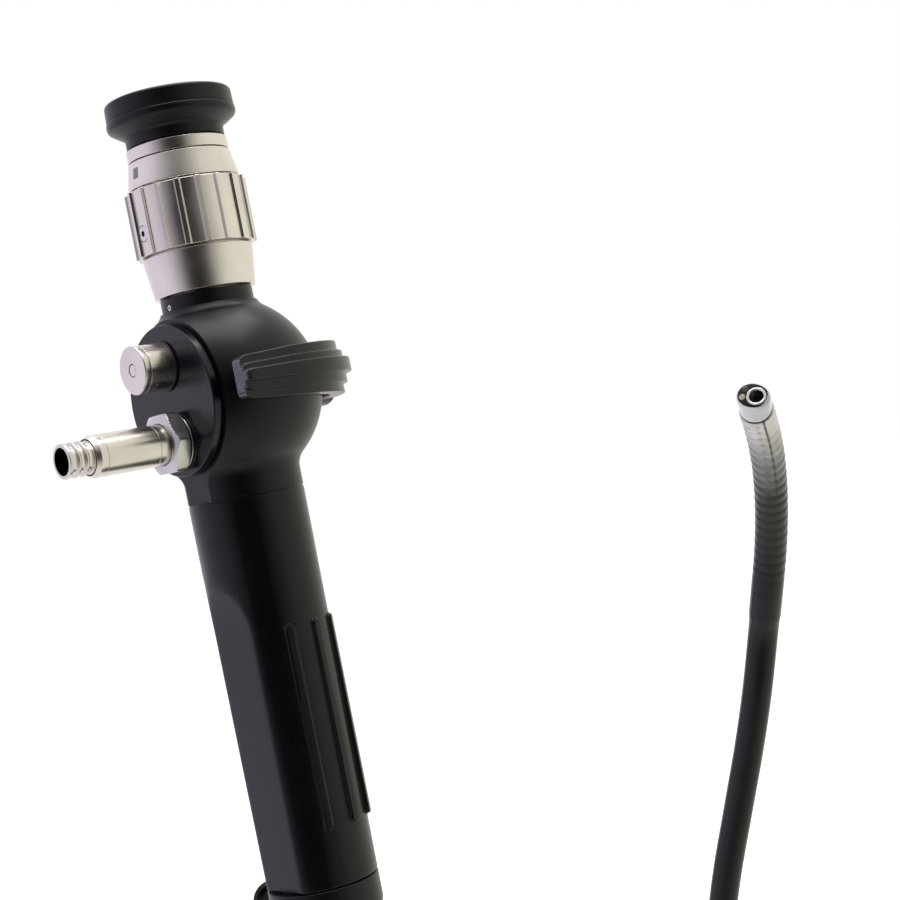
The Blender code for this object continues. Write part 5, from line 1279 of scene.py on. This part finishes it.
# %% Floor
FLOOR_HALF, FLOOR_TOP, FLOOR_WALL = 4.0, -0.1748, 0.002  # in metres
corners = FLOOR_HALF * np.array(((-1, -1), (1, -1), (1, 1), (-1, 1)))
floor_levels = FLOOR_TOP, FLOOR_TOP - FLOOR_WALL
floor_grid = np.stack([np.c_[corners, np.full(4, level)] for level in floor_levels])
floor = new_object("floor", grid_mesh("floor", floor_grid))
floor.visible_glossy = False  # so that metal reflects the studio's dark and pale sides down here too
floor_look, tree, shader, space = finish("white paper", "#e6e6e6", 0.9)
feed(tree, shader, "Roughness", spread(tree, noise(tree, space, 60, 3), 0.3, 0.7, 0.86, 0.94))
shader.inputs["Emission Color"].default_value = (1, 1, 1, 1)
seen = add_node(tree, "ShaderNodeLightPath").outputs["Is Camera Ray"]
feed(tree, shader, "Emission Strength", spread(tree, seen, 0, 1, 0.0, 0.85))
floor.data.materials.append(floor_look)
print("floor at z", FLOOR_TOP)

# %% World
world = bpy.data.worlds.new("studio")
bpy.context.scene.world = world
world.use_nodes = True
tree = world.node_tree
tree.nodes.clear()
rays = add_node(tree, "ShaderNodeLightPath").outputs
direction = add_node(tree, "ShaderNodeTexCoord").outputs["Generated"]
facing, aside = (
    add_node(tree, "ShaderNodeVectorMath", {0: direction, 1: tuple(axis)},
             operation="DOT_PRODUCT").outputs["Value"]
    for axis in (view_back, view_right)
)
band = ramp(tree, facing, (0.0, "#ffffff"), (0.5, "#f0f0f0"), (0.78, "#b0afaf"), (0.92, "#3a393a"),
            (1.0, "#0b0b0c"))
tint = ramp(tree, spread(tree, aside, -0.8, 0.8, 0.0, 1.0),
            (0.0, "#efe9fb"), (0.5, "#fbf9f6"), (1.0, "#f8f7ea"))
tinted = mixed(tree, 1.0, band, tint, blend_type="MULTIPLY")


def backdrop(colour, strength):
    inputs = {"Color": colour, "Strength": strength}
    return add_node(tree, "ShaderNodeBackground", inputs).outputs[0]


plain, seen = backdrop((1, 1, 1, 1), 1.0), backdrop(linear("#c8cacd"), 0.55)
for kind, light in (("Glossy", backdrop(tinted, 1.12)), ("Transmission", plain), ("Camera", plain)):
    inputs = {0: rays[f"Is {kind} Ray"], 1: seen, 2: light}
    seen = add_node(tree, "ShaderNodeMixShader", inputs).outputs[0]
add_node(tree, "ShaderNodeOutputWorld", {"Surface": seen})
print("world: white to the camera")

# %% Lamps


def softbox(name, place, size, watts, seen=True):
    """An area lamp that faces the object. Unless it is seen, reflections leave it out."""
    data = bpy.data.lights.new(name, "AREA")
    data.shape = "RECTANGLE"
    data.size, data.size_y = size
    data.energy = watts
    lamp = new_object(name, data)
    lamp.visible_glossy = seen
    turn = (Vector(place) - Vector(LAMP_TARGET)).to_track_quat("Z", "Y").to_matrix().to_4x4()
    lamp.matrix_world = Matrix.Translation(place) @ turn


LAMP_TARGET = (0, 0, 0.05)  # in metres, like the lamps' places and sizes
softbox("overhead", (0.05, -0.05, 0.62), (0.5, 0.5), 3.4)
softbox("left", (-0.62, -0.02, 0.22), (0.35, 0.6), 2.2, False)
softbox("right", (0.55, -0.30, 0.20), (0.3, 0.6), 1.6, False)
bpy.context.scene.view_settings.view_transform = "Standard"
